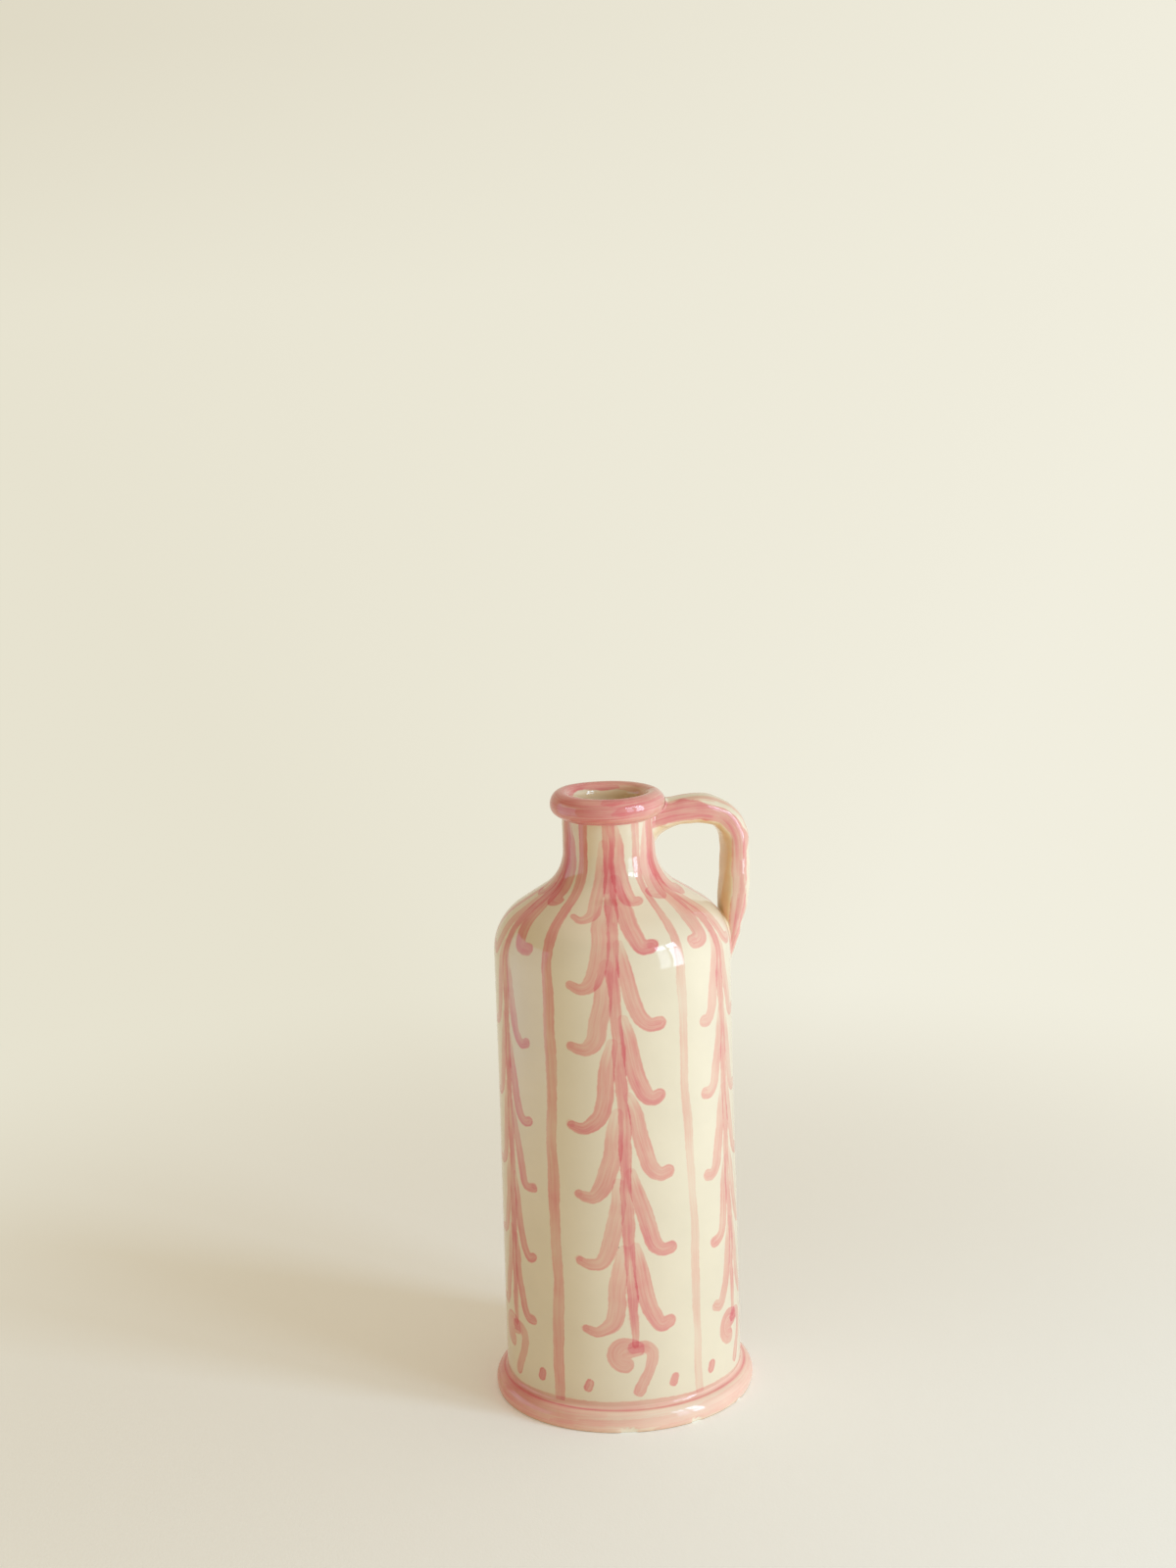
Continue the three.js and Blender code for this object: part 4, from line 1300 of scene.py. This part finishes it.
def keep_in_clay(pot, points):
    """Keeps hidden ends of the strap from showing inside the bottle."""
    m = pot.sizes
    radius = np.hypot(points[..., 0], points[..., 1])
    inside = np.where(points[..., 2] > m.wall_top + 10, m.bore + 0.5, m.wall_top_radius - m.shell + 1.0)
    push = np.where(radius < inside, inside / np.maximum(radius, 1e-6), 1)
    return np.stack([points[..., 0] * push, points[..., 1] * push, points[..., 2]], -1)


def pull_strap(pot, look):
    """The strap handle from inside the neck's clay to its end on the shoulder."""
    strap = Strap(pot)
    # Only the first stretch of the middle line runs steadily outwards.
    outwards = slice(200)
    root = pot.sizes.neck_radius - STRAP_ROOT
    first = np.interp(root, strap.line[outwards, 0], strap.place[outwards])
    place = np.linspace(first, strap.length, int((strap.length - first) / STRAP_STEP))
    grid = np.repeat(place[:, None], STRAP_SIDES, 1)
    turns = np.repeat(strap.turns[None], len(place), 0)
    rings = keep_in_clay(pot, strap.at(grid, turns))
    piece = skinned("strap_handle", rings, climb=0.02 + 0.96 * (place - first) / (strap.length - first))
    coats, thin_glaze_and_shade = strap_coats(strap, point_values(piece, grid.ravel(), 0.0),
                              point_values(piece, turns.ravel(), 0.0))
    keep_coats(piece, coats)
    give(piece, "thin_glaze_and_shade", thin_glaze_and_shade)
    finished(piece, "pink_glaze", glaze("pink strap glaze", look, coats), "handle_strap")


def fillet(pot, strap, name, at_tail, room_along, room_down):
    """Clay worked into the corner between the strap and the pot, all round the strap."""
    turns = np.linspace(0, FULL_TURN, FILLET_SIDES, endpoint=False)
    toward = -1 if at_tail else 1
    base = strap.place[-1] if at_tail else 0
    # Places along the strap, a tenth of a mm apart
    along = np.linspace(0, 48, 481)
    place = base + toward * along
    skin = strap.at(place[:, None], turns[None])
    gap = pot.nearest(skin.reshape(-1, 3))[0].reshape(skin.shape[:2])
    inside = gap <= 0
    last_inside = len(place) - 1 - inside[::-1].argmax(0)
    columns = np.arange(FILLET_SIDES)
    before = gap[last_inside, columns]
    after = gap[np.minimum(last_inside + 1, len(place) - 1), columns]
    t = np.clip(before / (before - after + 1e-9), 0, 1)
    met = along[last_inside] + t * (along[1] - along[0])
    # The line on which the strap meets the pot is evened out.
    kernel = np.array([1, 4, 6, 4, 1]) / 16
    for _ in range(3):
        met = np.convolve(np.concatenate([met[-2:], met, met[:2]]), kernel, "valid")

    def skin_at(distance):
        return strap.at(base + toward * distance, turns)

    corner = skin_at(met)
    run = skin_at(met + 0.3) - corner
    run /= np.linalg.norm(run, axis=1)[:, None]
    _, corner_on_pot, pot_out = pot.nearest(corner)
    ring_run = strap.at(base + toward * met, turns + 0.04) - strap.at(base + toward * met, turns - 0.04)
    side = np.cross(ring_run, run) * toward
    side /= np.linalg.norm(side, axis=1)[:, None]
    sideways = side - (side * pot_out).sum(1)[:, None] * pot_out
    sideways /= np.linalg.norm(sideways, axis=1)[:, None]
    ways_along = room_along(turns)
    ways_down = room_down(turns)
    on_strap = skin_at(met + ways_along)
    _, on_pot, pot_out_there = pot.nearest(corner_on_pot + sideways * ways_down[:, None])
    chord = (on_strap + on_pot) / 2
    control = corner_on_pot * 0.8 + chord * 0.2
    sunk = 0.16
    start = on_strap - side * sunk
    stop = on_pot - pot_out_there * sunk
    steps = np.linspace(0, 1, FILLET_STEPS + 1)[:, None, None]
    curve = (1 - steps) ** 2 * start + 2 * steps * (1 - steps) * control + steps ** 2 * stop
    depth = 1.3
    hidden = corner_on_pot - pot_out * depth - side * depth
    rings = np.concatenate([curve, hidden[None]]).transpose(1, 0, 2)
    piece = skinned(name, keep_in_clay(pot, rings), closed=True)
    fraction = np.concatenate([steps[:, 0, 0], [0.5]])
    grid_turn = np.repeat(turns[:, None], len(fraction), 1)
    grid_place = base + toward * (met[:, None] + ways_along[:, None] * (1 - fraction[None]))
    coats, thin_glaze_and_shade = strap_coats(strap, grid_place.ravel(), grid_turn.ravel())
    reach = np.repeat(fraction[None], FILLET_SIDES, 0).ravel()
    return piece, coats, thin_glaze_and_shade, reach, grid_turn.ravel()


def under(turns, spread=0.75):
    """How far an angle round the strap's section lies under the strap, from 0 to 1."""
    return bell(wrapped(turns + math.pi / 2), 0, spread)


# Each joint: CAD node, at the strap's tail or not, room along the strap and down the pot, bareness
JOINTS = {
    "worked_upper_joint": ("upper_handle_joint", False,
                           lambda turns: 1.6 + 12.5 * under(turns, 0.8),
                           lambda turns: 1.4 + 4.4 * under(turns, 0.9),
                           lambda turns: under(turns, 1.0)),
    "worked_lower_joint": ("lower_handle_joint", True,
                           lambda turns: 3.0 + 2.0 * under(-turns),
                           lambda turns: 2.2 + 3.0 * under(-turns, 0.9) + 0.8 * under(turns),
                           lambda turns: 0.6 + 0.4 * under(turns)),
}


def join_handle(pot, look):
    """The worked clay at both ends of the strap."""
    strap = Strap(pot)
    material = glaze("cream joint glaze", look, ["coat", "strokes", "side_strokes"])
    for name, (node, at_tail, along, down, bare) in JOINTS.items():
        piece, coats, thin_glaze_and_shade, reach, turns = fillet(pot, strap, name, at_tail, along, down)
        unpainted = 3.5 * smooth(reach, 0.15, 0.85) * bare(turns)
        coats["coat"].edge = np.clip(coats["coat"].edge + unpainted, -FAR, FAR)
        keep_coats(piece, coats)
        # The glaze turns tan close to the pot and under the strap
        give(piece, "thin_glaze_and_shade", np.maximum(thin_glaze_and_shade * (1 - 0.75 * reach), 0.25 * under(turns)))
        finished(piece, "cream_glaze", material, node)


# The stage

# Place of the camera in metres, and its directions to the right and up
CAMERA_PLACE = (-0.2136, -0.9402, 0.4458)
CAMERA_RIGHT = (0.9751, -0.2196, -0.0302)
CAMERA_UP = (0.0721, 0.1853, 0.9800)
# Column, lower and upper edge as shares of the height, and brightness of each window pane
PANES = ((0, 0.0, 0.74, 0.5), (1, 0.0, 0.74, 1.3), (0, 0.74, 1.0, 1.4), (1, 0.74, 1.0, 1.9))
PANE_BAR = 0.03
# Walls that the glaze mirrors: direction and half width in degrees, height of the top as a sine
FAR_WALL = (163.4, 27.2, 0.37)
WALL_BY_WINDOW = (-8.0, 24.0, 0.45)
# Softness of the edges of those walls
FAR_WALL_SOFTNESS = 0.012
WALL_BY_WINDOW_SOFTNESS = 0.08
# Radii of the floor's rings, and the distances between which the paper fades into the backdrop, in metres
FLOOR_RADII = (0.5, 1.5, 5, 30)
FLOOR_FADE = (0.16, 0.62)


def backdrop_tone(sheet, direction, stage):
    """The backdrop's colour in a direction: a little brighter to the right."""
    high = sheet.ranged(sheet.split(direction)[2], 0.0, 0.1, 0, 1)
    left = sheet.mixed(high, stage.backdrop_left, stage.backdrop_top)
    turn = sheet.dot(direction, Vector(CAMERA_RIGHT))
    return sheet.mixed(sheet.ranged(turn, -0.25, 0.25, 0, 1), left, stage.backdrop)


def mirrored_wall(sheet, direction, wall, softness):
    """How much of a wall stands in a direction, from 0 to 1."""
    about, half_width, top = wall
    x, y, height = sheet.split(direction)
    flat = sheet.add("VectorMath", {0: sheet.vector(x, y, 0.0)}, operation="NORMALIZE").outputs["Vector"]
    turn = sheet.dot(flat, Vector((math.cos(math.radians(about)), math.sin(math.radians(about)), 0)))
    edge = math.cos(math.radians(half_width))
    sides = sheet.ranged(turn, edge - softness, edge + softness, 0, 1)
    return sheet.times(sides, sheet.ranged(height, top + softness, top - softness, 0, 1))


def mirrored_room(sheet, direction, stage):
    """What the glaze mirrors in a direction: a dim room with two pale walls, a ceiling, the backdrop."""
    height = sheet.split(direction)[2]
    wall = mirrored_wall(sheet, direction, FAR_WALL, FAR_WALL_SOFTNESS)
    room = sheet.mixed(wall, stage.room, stage.far_wall)
    wall = mirrored_wall(sheet, direction, WALL_BY_WINDOW, WALL_BY_WINDOW_SOFTNESS)
    room = sheet.mixed(wall, room, stage.beside_window)
    room = sheet.mixed(sheet.ranged(height, 0.72, 0.94, 0, 1), room, stage.ceiling)
    ahead = sheet.dot(direction, Vector(CAMERA_UP).cross(Vector(CAMERA_RIGHT)))
    paper = sheet.times(sheet.ranged(ahead, 0.30, 0.60, 0, 1), sheet.ranged(height, 0.9, 0.7, 0, 1))
    return sheet.mixed(paper, room, backdrop_tone(sheet, direction, stage))


def lay_floor(stage):
    """Pale paper that fades into the backdrop around the cruet."""
    turn = np.arange(FLOOR_SIDES) * FULL_TURN / FLOOR_SIDES
    points = [(0, 0, 0)]
    faces = []
    for radius in FLOOR_RADII:
        points += [(radius * math.cos(t), radius * math.sin(t), 0) for t in turn]
    for j in range(FLOOR_SIDES):
        k = (j + 1) % FLOOR_SIDES
        faces.append((0, 1 + j, 1 + k))
        for ring in range(len(FLOOR_RADII) - 1):
            a = 1 + ring * FLOOR_SIDES
            b = a + FLOOR_SIDES
            faces.append((a + j, b + j, b + k, a + k))
    mesh = bpy.data.meshes.new("floor")
    mesh.from_pydata(points, [], faces)
    floor = bpy.data.objects.new("floor", mesh)
    bpy.context.scene.collection.objects.link(floor)
    material, sheet, place = new_material("pale paper")
    distance = sheet.add("VectorMath", {0: place}, operation="LENGTH").outputs["Value"]
    away = sheet.add("VectorMath", {0: place}, operation="NORMALIZE").outputs["Vector"]
    grain = sheet.noise(place, PAPER_GRAIN, 3, 0.7)
    bump = sheet.add("Bump", {"Strength": 0.35, "Distance": PAPER_MARKS, "Height": grain})
    paper = sheet.add("BsdfPrincipled", {"Base Color": stage.floor, "Roughness": 0.95,
                                         "Specular IOR Level": 0.1, "Normal": bump.outputs[0]})
    seen = sheet.mixed(sheet.add("LightPath").outputs["Is Glossy Ray"], backdrop_tone(sheet, away, stage),
                       mirrored_room(sheet, away, stage))
    lit = sheet.add("Emission", {"Color": stage.floor, "Strength": stage.paper_glow})
    paper = sheet.add("AddShader", {0: paper.outputs[0], 1: lit.outputs[0]})
    glow = sheet.add("Emission", {"Color": seen, "Strength": 1.0})
    fade = sheet.ranged(distance, *FLOOR_FADE, 0, 1, smooth_step=True)
    sheet.show(sheet.add("MixShader", {0: fade, 1: paper.outputs[0], 2: glow.outputs[0]}))
    mesh.materials.append(material)


def hang_backdrop(stage):
    """What the camera, the soft fill light and the glaze each see around the cruet."""
    world = bpy.data.worlds.new("studio")
    bpy.context.scene.world = world
    world.use_nodes = True
    sheet = NodeSheet(world.node_tree)
    direction = sheet.add("TexCoord").outputs["Generated"]
    rays = sheet.add("LightPath").outputs
    mirrored = sheet.math("MAXIMUM", rays["Is Glossy Ray"], rays["Is Transmission Ray"])
    # The fill is brightest a little beside the window and above it.
    bright = stage.window_azimuth + math.radians(20)
    facing = sheet.dot(direction, Vector((math.cos(bright), math.sin(bright), 0.25)).normalized())
    fill = sheet.mixed(sheet.ranged(facing, -1, 1, 0, 1), stage.fill_dim, stage.fill_bright)
    above = sheet.ranged(sheet.split(direction)[2], 0.68, 0.94, 0, 1)
    fill = sheet.mixed(above, fill, stage.fill_above)
    tones = (fill, backdrop_tone(sheet, direction, stage), mirrored_room(sheet, direction, stage))
    lit, shown, glossy = (sheet.add("Background", {"Color": tone, "Strength": 1.0}).outputs[0]
                          for tone in tones)
    mixed = sheet.add("MixShader", {0: rays["Is Camera Ray"], 1: lit, 2: shown}).outputs[0]
    sheet.show(sheet.add("MixShader", {0: mirrored, 1: mixed, 2: glossy}), "OutputWorld")


def open_window(stage):
    """A window of panes: its light falls from the right and shines in the glaze."""
    out = Vector((math.cos(stage.window_azimuth), math.sin(stage.window_azimuth), 0))
    side = Vector((-out.y, out.x, 0))
    wide = stage.window_width / 2
    for column, low, high, weight in PANES:
        pane = bpy.data.lights.new("window_pane", "AREA")
        pane.shape = "RECTANGLE"
        pane.size = wide - PANE_BAR * 2
        pane.size_y = (high - low) * stage.window_height - PANE_BAR
        pane.color = stage.window
        pane.energy = stage.window_radiance * weight * math.pi * pane.size * pane.size_y
        lamp = bpy.data.objects.new("window_pane", pane)
        middle = stage.window_sill + (low + high) / 2 * stage.window_height
        lamp.location = out * stage.window_distance + side * (column - 0.5) * wide + Vector((0, 0, middle))
        lamp.rotation_euler = (-out).to_track_quat("-Z", "Y").to_euler()
        bpy.context.scene.collection.objects.link(lamp)


def set_camera(stage):
    """The photo's camera."""
    right = Vector(CAMERA_RIGHT).normalized()
    up = Vector(CAMERA_UP)
    up = (up - right * up.dot(right)).normalized()
    back = right.cross(up)
    data = bpy.data.cameras.new("camera")
    data.lens = stage.lens
    data.clip_end = 100
    camera = bpy.data.objects.new("camera", data)
    camera.matrix_world = Matrix.Translation(CAMERA_PLACE) @ Matrix((right, up, back)).transposed().to_4x4()
    bpy.context.scene.collection.objects.link(camera)
    bpy.context.scene.camera = camera
    bpy.context.scene.view_settings.view_transform = "Standard"


# Operators and panel

class CRUET_OT_throw_bottle(bpy.types.Operator):
    """Throw the bottle's wall, shoulder and neck and paint them"""

    bl_idname = "cruet.throw_bottle"
    bl_label = "Throw and paint the bottle"

    def execute(self, context):
        scene = context.scene
        throw_bottle(Pot(scene.cruet_clay), scene.cruet_paint, scene.cruet_glaze)
        return {"FINISHED"}


class CRUET_OT_turn_base(bpy.types.Operator):
    """Turn the unglazed underside"""

    bl_idname = "cruet.turn_base"
    bl_label = "Turn the base"

    def execute(self, context):
        scene = context.scene
        turn_base(Pot(scene.cruet_clay), scene.cruet_glaze)
        return {"FINISHED"}


class CRUET_OT_roll_foot(bpy.types.Operator):
    """Roll the foot and brush it pink"""

    bl_idname = "cruet.roll_foot"
    bl_label = "Roll the foot"

    def execute(self, context):
        scene = context.scene
        roll_foot(Pot(scene.cruet_clay), scene.cruet_paint, scene.cruet_glaze)
        return {"FINISHED"}


class CRUET_OT_roll_rim(bpy.types.Operator):
    """Roll the mouth and brush it pink"""

    bl_idname = "cruet.roll_rim"
    bl_label = "Roll the mouth"

    def execute(self, context):
        scene = context.scene
        roll_rim(Pot(scene.cruet_clay), scene.cruet_paint, scene.cruet_glaze)
        return {"FINISHED"}


class CRUET_OT_pull_strap(bpy.types.Operator):
    """Pull the strap handle and brush it pink"""

    bl_idname = "cruet.pull_strap"
    bl_label = "Pull the strap"

    def execute(self, context):
        scene = context.scene
        pull_strap(Pot(scene.cruet_clay), scene.cruet_glaze)
        return {"FINISHED"}


class CRUET_OT_join_handle(bpy.types.Operator):
    """Work clay into both corners between the strap and the pot"""

    bl_idname = "cruet.join_handle"
    bl_label = "Work in the joints"

    def execute(self, context):
        scene = context.scene
        join_handle(Pot(scene.cruet_clay), scene.cruet_glaze)
        return {"FINISHED"}


class CRUET_OT_set_stage(bpy.types.Operator):
    """Lay the floor, hang the backdrop, open the window and place the camera"""

    bl_idname = "cruet.set_stage"
    bl_label = "Set the stage"

    def execute(self, context):
        stage = context.scene.cruet_stage
        lay_floor(stage)
        hang_backdrop(stage)
        open_window(stage)
        set_camera(stage)
        return {"FINISHED"}


GROUPS = {"cruet_clay": CruetClay, "cruet_paint": CruetPaint, "cruet_glaze": CruetGlaze,
          "cruet_stage": CruetStage}
STEPS = (CRUET_OT_throw_bottle, CRUET_OT_turn_base, CRUET_OT_roll_foot, CRUET_OT_roll_rim,
         CRUET_OT_pull_strap, CRUET_OT_join_handle, CRUET_OT_set_stage)


class CRUET_PT_bench(bpy.types.Panel):
    """The cruet's steps and sizes"""

    bl_label = "Oil Cruet"
    bl_idname = "CRUET_PT_bench"
    bl_space_type = "VIEW_3D"
    bl_region_type = "UI"
    bl_category = "Oil Cruet"

    def draw(self, context):
        for step in STEPS:
            self.layout.operator(step.bl_idname)
        for group in GROUPS:
            box = self.layout.box()
            settings = getattr(context.scene, group)
            for name in settings.bl_rna.properties.keys():
                if name not in ("name", "rna_type"):
                    box.prop(settings, name)


def register():
    for group, kind in GROUPS.items():
        bpy.utils.register_class(kind)
        setattr(bpy.types.Scene, group, PointerProperty(type=kind))
    for kind in (*STEPS, CRUET_PT_bench):
        bpy.utils.register_class(kind)


def unregister():
    for kind in (CRUET_PT_bench, *reversed(STEPS)):
        bpy.utils.unregister_class(kind)
    for group, kind in GROUPS.items():
        delattr(bpy.types.Scene, group)
        bpy.utils.unregister_class(kind)


def main():
    register()
    bpy.ops.cruet.throw_bottle()
    bpy.ops.cruet.turn_base()
    bpy.ops.cruet.roll_foot()
    bpy.ops.cruet.roll_rim()
    bpy.ops.cruet.pull_strap()
    bpy.ops.cruet.join_handle()
    bpy.ops.cruet.set_stage()


if __name__ == "__main__":
    main()
